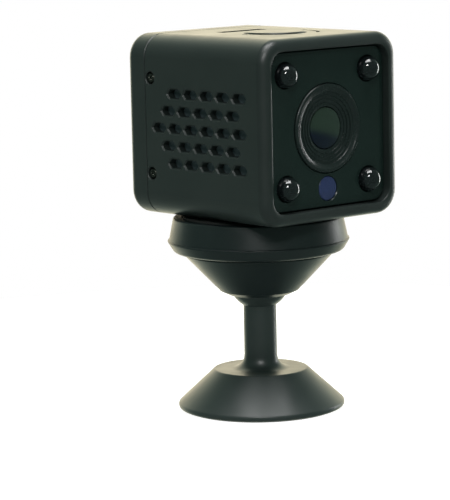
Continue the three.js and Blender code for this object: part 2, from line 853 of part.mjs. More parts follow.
function boardScrew(side) {
  const seat = mainBoardY + mainBoardThickness + gap;
  const face = seat + boardScrewHeadDepth;
  const at = [boardScrewX(side), 0, side * boardPostSpread];
  const head = rod(boardScrewHead, 'y', seat, face, at, 12);
  const tip = mainBoardY - gap - boardScrewLength;
  const shank = rod(boardScrewShank, 'y', tip, seat + 0.3, at, 8);
  return cutAll(head.add(shank), crossCutters('y', face, 1.8, 0.4, 0.5, at));
}

function shieldCan() {
  const [width, depth, height] = shieldSize;
  return block([width, depth, height], [0, mainBoardY - gap - depth / 2, -2]);
}

function cardPlace() {
  const top = topOutside - cardSunk;
  return { top, bottom: top - cardLength, y: cardY };
}

function memoryCard() {
  const { top, bottom, y } = cardPlace();
  const half = cardWidth / 2;
  const outline = [[-half, bottom], [half, bottom], [half, top], [-half + 1, top], [-half, top - 1]];
  return alongY(outline, y - cardThickness / 2, y + cardThickness / 2);
}

/** Flat metal sleeve, open above, that the card drops into. */
function cardSocket() {
  const { bottom, y } = cardPlace();
  const floor = bottom - gap - cardSocketWall;
  const top = Math.min(floor + cardSocketLength, topInside - gap);
  const width = cardWidth + 2 * (cardClearance + cardSocketWall);
  const depth = cardThickness + 2 * (cardClearance + cardSocketWall);
  const room = [cardWidth + 2 * cardClearance, cardThickness + 2 * cardClearance, cardLength];
  return block([width, depth, top - floor], [0, y, (top + floor) / 2])
    .subtract(block(room, [0, y, floor + cardSocketWall + cardLength / 2]));
}

function battery() {
  const [width, depth, height] = batterySize;
  const front = cardY + cardThickness / 2 + cardClearance + cardSocketWall + 2 * gap;
  const outline = roundedOutline(width, height, 1.5, 3);
  return alongY(outline, front, front + depth);
}

function antenna() {
  const [width, length, thickness] = antennaSize;
  const edge = innerCorner - innerHalfWidth;
  return block([width, length, thickness], [edge + width / 2, 0, topInside - gap - thickness / 2]);
}

function rearBoardFront() {
  return rearY - usbDepth - rearBoardSize[1] - 2 * gap;
}

function rearBoard() {
  const [width, depth, height] = rearBoardSize;
  return block([width, depth, height], [0, rearBoardFront() + depth / 2, 0]);
}

function usbSocket() {
  const back = rearY - gap;
  const outer = roundedOutline(usbWidth, usbHeight, 0.9, 3);
  const inner = roundedOutline(usbWidth - 2 * usbWall, usbHeight - 2 * usbWall, 0.6, 3);
  const lowered = (outline) => outline.map(([x, z]) => [x, z - usbDrop]);
  return alongY(lowered(outer), back - usbDepth, back)
    .subtract(alongY(lowered(inner), back - usbDepth + usbWall, back + 1));
}

function usbTongueBlock() {
  const [width, depth, height] = usbTongue;
  const front = rearY - gap - usbDepth + usbWall + gap;
  return block([width, depth, height], [0, front + depth / 2, -usbDrop]);
}

function resetSwitch() {
  const front = rearBoardFront() + rearBoardSize[1] + gap;
  return block([resetBody, resetBodyDepth, resetBody], [0, front + resetBodyDepth / 2, resetRise]);
}

function resetPlunger() {
  const front = rearBoardFront() + rearBoardSize[1] + 2 * gap + resetBodyDepth;
  return rod(resetPlungerRadius, 'y', front, front + resetPlungerLength, [0, 0, resetRise], 16);
}

function steelPlate() {
  const [width, length, thickness] = steelPlateSize;
  return block([width, length, thickness], [0, 0, gap + thickness / 2 - innerHalfHeight]);
}

// ---- Cube: top button ----

/** Round button with three lugs that catch under the shell, and a post over the switch. */
function powerButton() {
  const at = [0, buttonY, 0];
  const disc = rod(buttonRadius, 'z', buttonTop - buttonDepth - buttonLugDepth, buttonTop, at, 28);
  const post = rod(buttonPost, 'z', buttonPostBottom, buttonTop - buttonDepth, at, 16);
  const lugs = [45, 225, 315].map((angle) => {
    const reach = buttonRadius + gap + buttonLugReach;
    const lug = block([reach - 3, buttonLugWidth, buttonLugDepth],
      [(reach + 3) / 2, 0, buttonLugTop - buttonTravel / 2 - buttonLugDepth / 2]);
    return lug.rotate([0, 0, angle]).translate(at);
  });
  return lugs.reduce((solid, lug) => solid.add(lug), disc.add(post));
}

function buttonBoard() {
  const size = [buttonBoardWidth, buttonBoardLength, boardThickness];
  return block(size, [1, buttonY, buttonBoardTop - boardThickness / 2]);
}

function powerSwitch() {
  const bottom = buttonBoardTop + gap;
  const body = block([switchBody, switchBody, switchHeight], [0, buttonY, bottom + switchHeight / 2]);
  return body.add(rod(switchStem, 'z', bottom + switchHeight - 0.2, switchTop, [0, buttonY, 0], 16));
}

function statusLamp() {
  const [, , height] = statusLampSize;
  return block(statusLampSize, [pinholeX, pinholeY, buttonBoardTop + gap + height / 2]);
}

function lightPipe() {
  const bottom = buttonBoardTop + 2 * gap + statusLampSize[2];
  return rod(pinholeRadius - 0.1, 'z', bottom, topOutside - 0.1, [pinholeX, pinholeY, 0], 12);
}

function microphone() {
  const bottom = buttonBoardTop + gap;
  const at = [grooveRadius, buttonY, 0];
  return rod(microphoneRadius, 'z', bottom, bottom + microphoneHeight, at);
}

// ---- Assembly ----

function buildStand() {
  const stand = new THREE.Group();
  stand.add(
    piece('foot_pad', footPad(), 'rubber'),
    piece('foot_shell', footShell(), 'blackStand'),
    piece('foot_weight', footWeight(), 'steel'),
    piece('stem_screw', stemScrew(), 'steel'),
    piece('ball_stem', ballStem(), 'blackStand'),
    piece('inner_ball_seat', ballSeat(ballRadius + gap), 'nylon'),
    piece('outer_ball_seat', ballSeat(ballRadius + 2 * gap + seatWall), 'nylon'),
    piece('lock_nut', lockNut(), 'blackStand'),
    piece('socket_cup', socketCup(), 'blackStand'),
    piece('ring_magnet', ringMagnet(), 'magnet'),
    piece('grip_pad', gripPad(), 'rubber'),
  );
  return stand;
}

function buildCasing() {
  const casing = new THREE.Group();
  casing.add(
    piece('main_shell', mainShell(), 'blackShell'),
    piece('rear_cover', rearCover(), 'blackShell'),
    piece('steel_plate', steelPlate(), 'steel'),
  );
  sideScrewPlaces().forEach((place, i) => {
    casing.add(piece(`side_screw_${i + 1}`, sideScrew(place), 'blackScrew'));
  });
  return casing;
}

function buildFront() {
  const front = new THREE.Group();
  front.add(
    piece('front_panel', frontPanel(), 'blackPanel'),
    piece('lens_bezel', lensBezel(), 'blackPanel'),
    piece('led_board', ledBoard(), 'circuitBoard'),
    piece('sensor_window', sensorWindow(), 'blueWindow'),
    piece('light_sensor', lightSensor(), 'sensorCell'),
  );
  ledPlaces().forEach((place, i) => {
    front.add(piece(`infrared_lamp_${i + 1}`, lamp(place), 'smokedEpoxy'));
  });
  return front;
}

function buildLens() {
  const lens = new THREE.Group();
  lens.add(
    piece('lens_barrel', lensBarrel(), 'blackPanel'),
    piece('front_lens', frontLens(), 'lensGlass'),
    piece('rear_lens', rearLens(), 'lensGlass'),
    piece('infrared_filter', filterGlass(), 'lensGlass'),
    piece('lens_holder', lensHolder(), 'blackShell'),
    piece('image_sensor', imageSensor(), 'silicon'),
    piece('sensor_board', sensorBoard(), 'circuitBoard'),
  );
  return lens;
}

function buildElectronics() {
  const electronics = new THREE.Group();
  electronics.add(
    piece('main_board', mainBoard(), 'circuitBoard'),
    piece('shield_can', shieldCan(), 'steel'),
    piece('board_screw_1', boardScrew(-1), 'steel'),
    piece('board_screw_2', boardScrew(1), 'steel'),
    piece('card_socket', cardSocket(), 'steel'),
    piece('memory_card', memoryCard(), 'blackShell'),
    piece('battery', battery(), 'batteryFoil'),
    piece('antenna', antenna(), 'circuitBoard'),
    piece('rear_board', rearBoard(), 'circuitBoard'),
    piece('usb_socket', usbSocket(), 'steel'),
    piece('usb_tongue', usbTongueBlock(), 'blackPanel'),
    piece('reset_switch', resetSwitch(), 'blackShell'),
    piece('reset_plunger', resetPlunger(), 'whitePlastic'),
  );
  return electronics;
}

function buildTopControls() {
  const controls = new THREE.Group();
  controls.add(
    piece('power_button', powerButton(), 'blackPanel'),
    piece('power_switch', powerSwitch(), 'blackShell'),
    piece('button_board', buttonBoard(), 'circuitBoard'),
    piece('status_lamp', statusLamp(), 'whitePlastic'),
    piece('light_pipe', lightPipe(), 'clearAcrylic'),
    piece('microphone', microphone(), 'steel'),
  );
  return controls;
}

const cube = new THREE.Group();
cube.position.set(...cubeOffset, cubeCentre);
cube.add(buildCasing(), buildFront(), buildLens(), buildElectronics(), buildTopControls());

const camera = new THREE.Group();
camera.add(buildStand(), cube);

export default camera;
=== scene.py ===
"""Looks of a cube security camera on a ball-joint stand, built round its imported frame."""

import logging
import math
from collections.abc import Iterable, Sequence
from dataclasses import dataclass
from enum import Enum

import bmesh
import bpy
from mathutils import Matrix, Vector


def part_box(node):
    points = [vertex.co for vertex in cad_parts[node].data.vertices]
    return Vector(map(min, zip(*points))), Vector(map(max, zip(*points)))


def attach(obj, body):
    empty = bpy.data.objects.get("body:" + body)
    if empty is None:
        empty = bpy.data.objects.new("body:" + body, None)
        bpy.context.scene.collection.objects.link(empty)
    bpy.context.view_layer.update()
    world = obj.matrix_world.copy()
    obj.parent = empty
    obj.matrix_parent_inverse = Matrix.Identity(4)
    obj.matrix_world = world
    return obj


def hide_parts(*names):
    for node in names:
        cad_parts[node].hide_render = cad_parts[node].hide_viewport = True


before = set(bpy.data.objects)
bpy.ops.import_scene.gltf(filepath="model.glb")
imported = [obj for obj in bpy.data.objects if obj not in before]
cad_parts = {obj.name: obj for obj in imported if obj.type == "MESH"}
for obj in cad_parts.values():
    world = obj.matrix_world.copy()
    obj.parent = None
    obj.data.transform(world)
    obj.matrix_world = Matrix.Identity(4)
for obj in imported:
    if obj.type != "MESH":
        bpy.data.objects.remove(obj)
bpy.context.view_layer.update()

LOG = logging.getLogger("security_camera")
MM = 0.001
CUBE_BODIES = ("camera", "top_button", "card", "reset_pin")  # modelled about the cube's own axis
CUBE_DEPTH = 42.6
CUBE_MIDDLE = 60.8  # height of the lens axis
BUTTON_Y = -4.6
SLOT_Y = 5.8  # middle of the card slot
PIPE_PLACE = (-7.8, -3.8)  # light pipe and its pinhole
ROOM = 0.3  # clearance between a piece and the pocket that holds it

Outline = list[tuple[float, float]]
Point = tuple[float, float, float]


class Axis(Enum):
    """The direction a turned or drawn shape runs in."""

    X = 0
    Y = 1
    Z = 2


class Ends(Enum):
    """How a loft closes: its last ring joins the first, or both get a cap."""

    JOINED = 0
    CAPPED = 1


# ---- Outlines, in millimetres ----


def arc(centre: tuple[float, float], radius: float, start: float, end: float, steps: int = 6) -> Outline:
    """Points of an arc, ends included.

    Args:
        centre: Centre of the arc.
        radius: Its radius.
        start: Angle of the first point in degrees, from the first axis.
        end: Angle of the last point.
        steps: Number of straight pieces.

    Returns:
        The points in order.
    """
    angles = [math.radians(start + (end - start) * i / steps) for i in range(steps + 1)]
    return [(centre[0] + radius * math.cos(a), centre[1] + radius * math.sin(a)) for a in angles]


def rounded(width: float, height: float, corner: float, steps: int = 6,
            centre: tuple[float, float] = (0.0, 0.0)) -> Outline:
    """Outline of a rectangle with rounded corners.

    Args:
        width: Size along the first axis.
        height: Size along the second axis.
        corner: Corner radius.
        steps: Straight pieces in each corner.
        centre: Middle of the rectangle.

    Returns:
        The points, anticlockwise.
    """
    x, y = width / 2 - corner, height / 2 - corner
    corners = ((x, y, 0), (-x, y, 90), (-x, -y, 180), (x, -y, 270))
    return [p for cx, cy, turn in corners
            for p in arc((centre[0] + cx, centre[1] + cy), corner, turn, turn + 90, steps)]


def grown(outline: Outline, by: float) -> Outline:
    """An anticlockwise outline moved outwards, or inwards for a negative distance.

    Args:
        outline: The outline.
        by: Distance that each edge moves.

    Returns:
        The moved outline, with as many points.
    """
    moved = []
    for i, point in enumerate(outline):
        here = Vector(point)
        before, after = here - Vector(outline[i - 1]), Vector(outline[(i + 1) % len(outline)]) - here
        one = Vector((before.y, -before.x)).normalized()
        two = Vector((after.y, -after.x)).normalized()
        step = (one + two) * (by / max(0.2, 1 + one.dot(two)))
        moved.append((here.x + step.x, here.y + step.y))
    return moved


def round_edge(radius: float, along: float, edge: float, outer: bool, far: bool, steps: int = 3) -> Outline:
    """A rounded corner of a turned profile, for a shape that is walked anticlockwise in (radius, along).

    Args:
        radius: Radius of the sharp corner.
        along: Its place along the axis.
        edge: Rounding radius.
        outer: Whether the corner is on the outside of the shape.
        far: Whether it is at the far end along the axis.
        steps: Straight pieces in the rounding.

    Returns:
        The points in the order of the walk.
    """
    centre = (radius - edge if outer else radius + edge, along - edge if far else along + edge)
    start = {(True, False): -90, (True, True): 0, (False, True): 90, (False, False): 180}[(outer, far)]
    return arc(centre, edge, start, start + 90, steps)


# ---- Meshes ----


def mesh_object(name: str, points: Sequence[Sequence[float]],
                faces: Sequence[Sequence[int]]) -> bpy.types.Object:
    """A mesh object in the scene, its doubles merged and its faces turned outwards.

    Args:
        name: Name of the object.
        points: Corners in millimetres.
        faces: Corner numbers of each face.

    Returns:
        The object, at the origin.
    """
    form = bmesh.new()
    corners = [form.verts.new([value * MM for value in point]) for point in points]
    for face in faces:
        form.faces.new([corners[i] for i in face])
    bmesh.ops.remove_doubles(form, verts=form.verts, dist=0.0005 * MM)
    bmesh.ops.recalc_face_normals(form, faces=form.faces)
    mesh = bpy.data.meshes.new(name)
    form.to_mesh(mesh)
    form.free()
    made = bpy.data.objects.new(name, mesh)
    bpy.context.scene.collection.objects.link(made)
    return made


def placed(first: float, second: float, along: float, axis: Axis) -> Point:
    """A point from its two flat coordinates and its place along the axis."""
    return {Axis.X: (along, first, second), Axis.Y: (first, along, second),
            Axis.Z: (first, second, along)}[axis]


def loft(name: str, rings: Sequence[Sequence[Point]], ends: Ends) -> bpy.types.Object:
    """A skin over rings that have as many points each.

    Args:
        name: Name of the object.
        rings: The rings in order.
        ends: How the skin closes.

    Returns:
        The object.
    """
    size = len(rings[0])
    faces = []
    for i in range(len(rings) if ends is Ends.JOINED else len(rings) - 1):
        low, high = i * size, (i + 1) % len(rings) * size
        faces += [(low + k, low + (k + 1) % size, high + (k + 1) % size, high + k) for k in range(size)]
    if ends is Ends.CAPPED:
        faces += [tuple(range(size)), tuple(range(size * (len(rings) - 1), size * len(rings)))]
    return mesh_object(name, [point for ring in rings for point in ring], faces)


def turned(name: str, profile: Outline, axis: Axis = Axis.Z, centre: Point = (0.0, 0.0, 0.0),
           sides: int = 96) -> bpy.types.Object:
    """A closed (radius, along) profile turned about an axis.

    Args:
        name: Name of the object.
        profile: The profile, whose last point joins the first.
        axis: Axis of turning.
        centre: Point that the axis passes through, and where along is zero.
        sides: Number of sides.

    Returns:
        The object.
    """
    points, faces, count = [], [], len(profile)
    for k in range(sides):
        turn = 2 * math.pi * k / sides
        for radius, along in profile:
            spot = placed(radius * math.cos(turn), radius * math.sin(turn), along, axis)
            points.append(tuple(a + b for a, b in zip(spot, centre)))
    for k in range(sides):
        here, after = k * count, (k + 1) % sides * count
        for i in range(count):
            j = (i + 1) % count
            if profile[i][0] > 0 or profile[j][0] > 0:
                faces.append((here + i, after + i, after + j, here + j))
    return mesh_object(name, points, faces)


def drawn(name: str, outline: Outline, axis: Axis, low: float, high: float,
          edges: tuple[float, float] = (0.0, 0.0), steps: int = 2) -> bpy.types.Object:
    """A flat outline drawn out along an axis.

    Args:
        name: Name of the object.
        outline: The outline, anticlockwise.
        axis: Direction of drawing.
        low: Where it starts.
        high: Where it ends.
        edges: Rounding at the start and at the end. A negative one flares outwards, for a cutter.
        steps: Straight pieces in each rounding.

    Returns:
        The object.
    """
    levels = []
    for edge, at, side in ((edges[0], low, 1), (edges[1], high, -1)):
        inward = abs(edge)
        curve = [(0.0, 0.0)]
        if inward:
            curve = [(inward - x, inward - y) for x, y in arc((0, 0), inward, 90, 0, steps)]
        if edge < 0:
            curve = [(rise - inward, rise) for _, rise in curve]
        level = [(-inset, at + side * rise) for inset, rise in curve]
        levels += level if side > 0 else level[::-1]
    rings = [[placed(x, y, along, axis) for x, y in (grown(outline, by) if by else outline)]
             for by, along in levels]
    return loft(name, rings, Ends.CAPPED)


def block(name: str, size: Point, centre: Point, edge: float = 0.15) -> bpy.types.Object:
    """A box with softened edges.

    Args:
        name: Name of the object.
        size: Width, depth and height.
        centre: Its middle.
        edge: Rounding of every edge.

    Returns:
        The object.
    """
    outline = rounded(size[0], size[1], edge, 2, centre[:2])
    return drawn(name, outline, Axis.Z, centre[2] - size[2] / 2, centre[2] + size[2] / 2, (edge, edge))


def bake(piece: bpy.types.Object) -> bpy.types.Object:
    """Turns what a piece's modifiers make into its own plain mesh, and removes them."""
    bpy.context.view_layer.update()
    graph = bpy.context.evaluated_depsgraph_get()
    mesh = bpy.data.meshes.new_from_object(piece.evaluated_get(graph), depsgraph=graph)
    piece.modifiers.clear()
    piece.data = mesh
    mesh.name = piece.name
    return piece


def carve(piece: bpy.types.Object, cutters: Iterable[bpy.types.Object],
          operation: str = "DIFFERENCE") -> bpy.types.Object:
    """Cuts shapes out of a piece, or adds them to it.

    Args:
        piece: The piece that changes.
        cutters: The shapes, which are used up.
        operation: DIFFERENCE cuts, and UNION adds.

    Returns:
        The piece.
    """
    cutters = list(cutters)
    for cutter in cutters:
        boolean = piece.modifiers.new("carve", "BOOLEAN")
        boolean.operation, boolean.solver, boolean.object = operation, "EXACT", cutter
    bake(piece)
    for cutter in cutters:
        bpy.data.objects.remove(cutter)
    return piece


def merged(name: str, pieces: Sequence[bpy.types.Object]) -> bpy.types.Object:
    """One object that holds the meshes of several, which are used up.

    Args:
        name: Name of the new object.
        pieces: Objects at the origin.

    Returns:
        The new object.
    """
    form = bmesh.new()
    for piece in pieces:
        form.from_mesh(piece.data)
        bpy.data.objects.remove(piece)
    mesh = bpy.data.meshes.new(name)
    form.to_mesh(mesh)
    form.free()
    made = bpy.data.objects.new(name, mesh)
    bpy.context.scene.collection.objects.link(made)
    return made


def turned_about(piece: bpy.types.Object, matrix: Matrix) -> bpy.types.Object:
    """Moves a piece's mesh by a matrix, in metres."""
    piece.data.transform(matrix)
    return piece


# ---- Node trees ----


def add_node(tree: bpy.types.NodeTree, kind: str, inputs: dict | None = None,
             **settings: object) -> bpy.types.Node:
    """Adds a node with its settings and links.

    Args:
        tree: Tree that gets the node.
        kind: Type name of the node.
        inputs: A value or another node's output for each input, by name or number.
        settings: Properties of the node.

    Returns:
        The node.
    """
    node = tree.nodes.new(kind)
    for name, value in settings.items():
        setattr(node, name, value)
    for key, value in (inputs or {}).items():
        if isinstance(value, bpy.types.NodeSocket):
            tree.links.new(value, node.inputs[key])
        else:
            node.inputs[key].default_value = value
    return node


def linear(colour: str) -> tuple[float, float, float, float]:
    """A linear colour from its sRGB hex value."""
    parts = [int(colour[i:i + 2], 16) / 255 for i in (1, 3, 5)]
    return (*(p / 12.92 if p <= 0.04045 else ((p + 0.055) / 1.055) ** 2.4 for p in parts), 1.0)


@dataclass(frozen=True)
class Finish:
    """A surface: its material, its colours and how it was made. Sizes are in millimetres."""

    name: str
    colour: str
    other: str  # what the colour wanders to
    roughness: float
    spread: float = 0.05  # of the roughness, either way
    grain: float = 0.3
    depth: float = 0.004  # height of the grain
    patch: float = 7.0  # size of the slow changes
    specular: float = 0.5
    metallic: float = 0.0

    def material(self) -> bpy.types.Material:
        """Makes the material the first time, and then returns the same one."""
        made = bpy.data.materials.get(self.name)
        if made:
            return made
        made = bpy.data.materials.new(self.name)
        made.use_nodes = True
        made.diffuse_color = linear(self.colour)
        tree = made.node_tree
        tree.nodes.clear()
        place = add_node(tree, "ShaderNodeTexCoord").outputs["Object"]
        shader = add_node(tree, "ShaderNodeBsdfPrincipled", {
            "Metallic": self.metallic, "Specular IOR Level": self.specular, **self.constants()})
        height, mix = self.pattern(tree, place)
        slow = add_node(tree, "ShaderNodeTexNoise", {
            "Vector": place, "Scale": 1 / (self.patch * MM), "Detail": 4.0, "Roughness": 0.6})
        wander = add_node(tree, "ShaderNodeMapRange", {
            "Value": slow.outputs["Factor" if "Factor" in slow.outputs else "Fac"], "From Min": 0.3,
            "From Max": 0.7, "To Min": self.roughness - self.spread, "To Max": self.roughness + self.spread})
        tree.links.new(wander.outputs["Result"], shader.inputs["Roughness"])
        blend = add_node(tree, "ShaderNodeMix", {0: mix or slow.outputs[0], 6: linear(self.colour),
                                                 7: linear(self.other)}, data_type="RGBA")
        tree.links.new(blend.outputs[2], shader.inputs["Base Color"])
        bump = add_node(tree, "ShaderNodeBump", {"Height": height, "Distance": self.depth * MM,
                                                 "Strength": 1.0})
        tree.links.new(bump.outputs["Normal"], shader.inputs["Normal"])
        add_node(tree, "ShaderNodeOutputMaterial", {"Surface": shader.outputs["BSDF"]})
        return made

    def constants(self) -> dict[str, float]:
        """Shader values that are the same all over."""
        return {}

    def pattern(self, tree: bpy.types.NodeTree, place: bpy.types.NodeSocket) -> tuple[
            bpy.types.NodeSocket, bpy.types.NodeSocket | None]:
        """The relief, and what mixes the two colours.

        Args:
            tree: Tree that gets the nodes.
            place: Object coordinates.

        Returns:
            The height socket, and the mix socket or None for slow changes.
        """
        grain = add_node(tree, "ShaderNodeTexNoise", {
            "Vector": place, "Scale": 1 / (self.grain * MM), "Detail": 2.0})
        return grain.outputs[0], None


@dataclass(frozen=True)
class WornMetal(Finish):
    """Metal with fine marks that run one way."""

    metallic: float = 1.0
    stretch: Point = (1.0, 0.04, 1.0)  # how much finer the marks are across than along each axis

    def pattern(self, tree: bpy.types.NodeTree, place: bpy.types.NodeSocket) -> tuple[
            bpy.types.NodeSocket, bpy.types.NodeSocket | None]:
        """Stretched noise for the marks, whose light and dark streaks also mix the colours."""
        run = add_node(tree, "ShaderNodeMapping", {"Vector": place, "Scale": self.stretch})
        marks = add_node(tree, "ShaderNodeTexNoise", {
            "Vector": run.outputs[0], "Scale": 1 / (self.grain * MM), "Detail": 3.0})
        return marks.outputs[0], marks.outputs[0]


@dataclass(frozen=True)
class ClearPlastic(Finish):
    """Something the eye sees through, cast or polished smooth."""

    index: float = 1.5
    through: float = 1.0
    film: float = 0.0  # thickness of an anti-glare film, in nanometres

    def constants(self) -> dict[str, float]:
        """How it bends and passes light."""
        film = {"Thin Film Thickness": self.film, "Thin Film IOR": 1.38} if self.film else {}
        return {"IOR": self.index, "Transmission Weight": self.through, **film}


@dataclass(frozen=True)
class PaintedReflectionGlass(ClearPlastic):
    """Glass whose colour turns with height: deep blue below, and a painted grey-green reflection of the lit
    surroundings above.
    """

    centre: float = CUBE_MIDDLE
    blend: float = 1.1  # height over which the painted reflection turns to deep blue

    def pattern(self, tree: bpy.types.NodeTree, place: bpy.types.NodeSocket) -> tuple[
            bpy.types.NodeSocket, bpy.types.NodeSocket | None]:
        """Smooth relief, and the mix of the painted reflection, which turns with height, bent a little across
        the glass.
        """
        relief, _ = super().pattern(tree, place)
        way = add_node(tree, "ShaderNodeSeparateXYZ", {0: place})
        bend = add_node(tree, "ShaderNodeMath", {0: way.outputs["X"], 1: -0.25}, operation="MULTIPLY")
        rise = add_node(tree, "ShaderNodeMath", {0: way.outputs["Z"], 1: bend.outputs[0]},
                        operation="SUBTRACT")
        # painted reflection: grey-green above the lens middle, deep blue below
        turn = add_node(tree, "ShaderNodeMapRange", {
            "Value": rise.outputs[0], "From Min": (self.centre - 0.9 - self.blend) * MM,
            "From Max": (self.centre - 0.9 + self.blend) * MM}, interpolation_type="SMOOTHSTEP")
        return relief, turn.outputs[0]


@dataclass(frozen=True)
class CircuitBoard(Finish):
    """Glass-fibre board under solder mask, with copper tracks that show through it."""

    track: float = 0.8

    def pattern(self, tree: bpy.types.NodeTree, place: bpy.types.NodeSocket) -> tuple[
            bpy.types.NodeSocket, bpy.types.NodeSocket | None]:
        """Square cells whose borders are the tracks: they stand up, and take the lighter colour."""
        cells = add_node(tree, "ShaderNodeTexVoronoi", {
            "Vector": place, "Scale": 1 / (self.track * 3 * MM), "Randomness": 0.7}, distance="CHEBYCHEV")
        rank = add_node(tree, "ShaderNodeMath", {0: cells.outputs["Distance"], 1: 9.0}, operation="MULTIPLY")
        ring = add_node(tree, "ShaderNodeMath", {0: rank.outputs[0]}, operation="SINE")
        track = add_node(tree, "ShaderNodeMapRange", {
            "Value": ring.outputs[0], "From Min": 0.1, "From Max": 0.35})
        return track.outputs["Result"], track.outputs["Result"]


# Spark-eroded black ABS, moulded: a fine dull grain that spreads the light into soft bands.
SHELL = Finish("moulded_abs_shell", "#161C1B", "#1B211F", 0.4, 0.04, 0.35, 0.006, 9.0, 0.4)
# Polished black ABS, moulded against a smooth face: darker, with one clear soft reflection.
PANEL = Finish("polished_abs_panel", "#0C1614", "#111C19", 0.24, 0.03, 1.2, 0.003, 6.0, 0.3)
# Satin ABS of the stand, moulded in a plain steel mould: paler than the cube, with broad highlights.
STAND = Finish("satin_abs_stand", "#1C2422", "#222A28", 0.42, 0.05, 0.5, 0.005, 8.0, 0.42)
# Matt black ABS of the cup and its nut, moulded: darker than the foot, with little shine.
CLAMP = Finish("matt_abs_clamp", "#101717", "#151D1C", 0.4, 0.05, 0.5, 0.005, 8.0, 0.26)
# Matt black ABS of the lens rings, moulded: swallows light between the bright edges.
RINGS = Finish("matt_abs_rings", "#0D1413", "#121918", 0.28, 0.04, 0.4, 0.004, 4.0, 0.4)
# Black rubber, moulded: nearly no shine, with a powdery bloom.
RUBBER = Finish("moulded_rubber", "#161716", "#1F201F", 0.82, 0.06, 0.25, 0.012, 5.0, 0.3)
# Natural nylon, moulded: waxy and slightly yellow.
NYLON = Finish("moulded_nylon", "#D8D3C4", "#CCC6B4", 0.5, 0.05, 0.6, 0.004, 5.0, 0.45)
# Woven nylon cloth behind the vents: grey-teal threads, paler than the shell, that paint a haze of light into
# the vents' shade.
CLOTH_PAINTED_HAZE = Finish("woven_dust_cloth", "#4C595C", "#3E4A4D", 0.8, 0.05, 0.3, 0.02, 3.0, 0.2)
# Memory card body, moulded: even and dull.
CARD = Finish("moulded_card_body", "#141618", "#1B1D20", 0.5, 0.05, 0.3, 0.004, 4.0, 0.4)
# Aluminium-laminate pouch of the cell, pressed: crinkled silver with a dull film on it.
FOIL = Finish("pressed_pouch_foil", "#B9BDC0", "#9BA0A4", 0.34, 0.08, 2.2, 0.08, 5.0, 0.5, 0.85)
# Zinc-plated steel, rolled: grey metal with faint long scratches.
STEEL = WornMetal("zinc_plated_steel", "#B3B6B8", "#8F9396", 0.34, 0.07, 0.25, 0.003, 4.0)
# Nickel-plated sintered magnet, barrel plated: brighter and slightly warm.
NICKEL = WornMetal("nickel_plated_magnet", "#A9A8A2", "#8D8B85", 0.26, 0.05, 0.3, 0.003, 4.0,
                   stretch=(1.0, 1.0, 0.1))
# Black-oxide steel screws, tumbled: dark metal whose high spots are rubbed bright.
BLACK_STEEL = WornMetal("black_oxide_screw", "#1C1D1C", "#55564F", 0.34, 0.1, 0.35, 0.02, 0.8,
                        stretch=(1.0, 1.0, 1.0))
# Tinned copper lead frame inside a lamp, stamped: pale silver.
TINNED = WornMetal("tinned_lead_frame", "#5C5E5C", "#3C3E3E", 0.3, 0.06, 0.2, 0.003, 1.0)
# Epoxy of the lamps, cast in a polished mould and tinted dark: the tint is painted shade for their inside,
# under crisp window highlights.
EPOXY_PAINTED_SHADE = ClearPlastic("cast_smoked_epoxy", "#23292B", "#1B2022", 0.03, 0.015, 1.5, 0.001, 2.0, 0.5,
                     index=1.52, through=0.75)
# Clear acrylic of the light pipe, moulded: a small pale dot in the top.
CLEAR = ClearPlastic("moulded_clear_acrylic", "#EEF4F4", "#E2EAEA", 0.06, 0.02, 1.5, 0.001, 2.0, 0.5,
                     index=1.49)
# Inner lens elements and filter, ground and polished glass: clear with a cool edge.
GLASS = ClearPlastic("ground_lens_glass", "#8FA3B0", "#8499A8", 0.03, 0.01, 2.0, 0.0005, 2.0, 0.4, index=1.6)
# Front lens, ground glass: deep blue below turning to a painted grey-green reflection above.
LENS_PAINTED_REFLECTION = PaintedReflectionGlass("coated_front_lens", "#050A18", "#1E2A22", 0.06, 0.01, 2.0, 0.0005, 2.0, 0.3, index=1.6,
                     through=0.1)
# Cast acrylic window, tinted dark blue: a flat blue sheen with the cell faint behind it.
WINDOW = ClearPlastic("tinted_acrylic_window", "#34406A", "#2B3559", 0.2, 0.03, 1.0, 0.002, 2.0, 0.3,
                      index=1.49, through=0.5)
# Light-sensing film, sintered on ceramic: dull orange-brown.
CELL = Finish("sintered_light_cell", "#A9613A", "#8C4E2E", 0.6, 0.05, 0.2, 0.006, 1.0, 0.3)
# Image sensor die, polished silicon under its own filter: dark with a violet cast.
SILICON = Finish("polished_silicon_die", "#24222E", "#353046", 0.16, 0.04, 0.4, 0.001, 2.0, 0.6, 0.3)
# Green solder mask on the small boards, screen printed and cured: glossy, with tracks just raised.
BOARD = CircuitBoard("green_solder_mask", "#14482B", "#1E6139", 0.34, 0.05, 0.3, 0.03, 5.0, 0.5)
# Black solder mask on the main, lamp and rear boards, cured: so dark that little shows through the vents.
BLACK_BOARD = CircuitBoard("black_solder_mask", "#0B0D0C", "#121513", 0.4, 0.05, 0.3, 0.03, 5.0, 0.3)
# Chip capacitors and resistors, fired ceramic: matt tan.
CERAMIC = Finish("fired_ceramic_part", "#8A7458", "#6F5C45", 0.5, 0.06, 0.2, 0.004, 1.0, 0.45)
# Epoxy and filled nylon of chips, switches and the lens holder, moulded: matt black.
CHIP = Finish("moulded_chip_body", "#101112", "#1A1B1C", 0.45, 0.06, 0.25, 0.004, 2.0, 0.4)


def soften(piece: bpy.types.Object, angle: float = 32.0) -> bpy.types.Object:
    """Shades a piece smooth except where faces meet at more than an angle, with flat faces kept flat.

    Args:
        piece: The piece.
        angle: The angle in degrees.

    Returns:
        The piece, with the shading in its mesh.
    """
    mesh = piece.data
    mesh.polygons.foreach_set("use_smooth", [True] * len(mesh.polygons))
    mesh.set_sharp_from_angle(angle=math.radians(angle))
    weigh = piece.modifiers.new("flat faces", "WEIGHTED_NORMAL")
    weigh.keep_sharp, weigh.weight = True, 60
    return bake(piece)


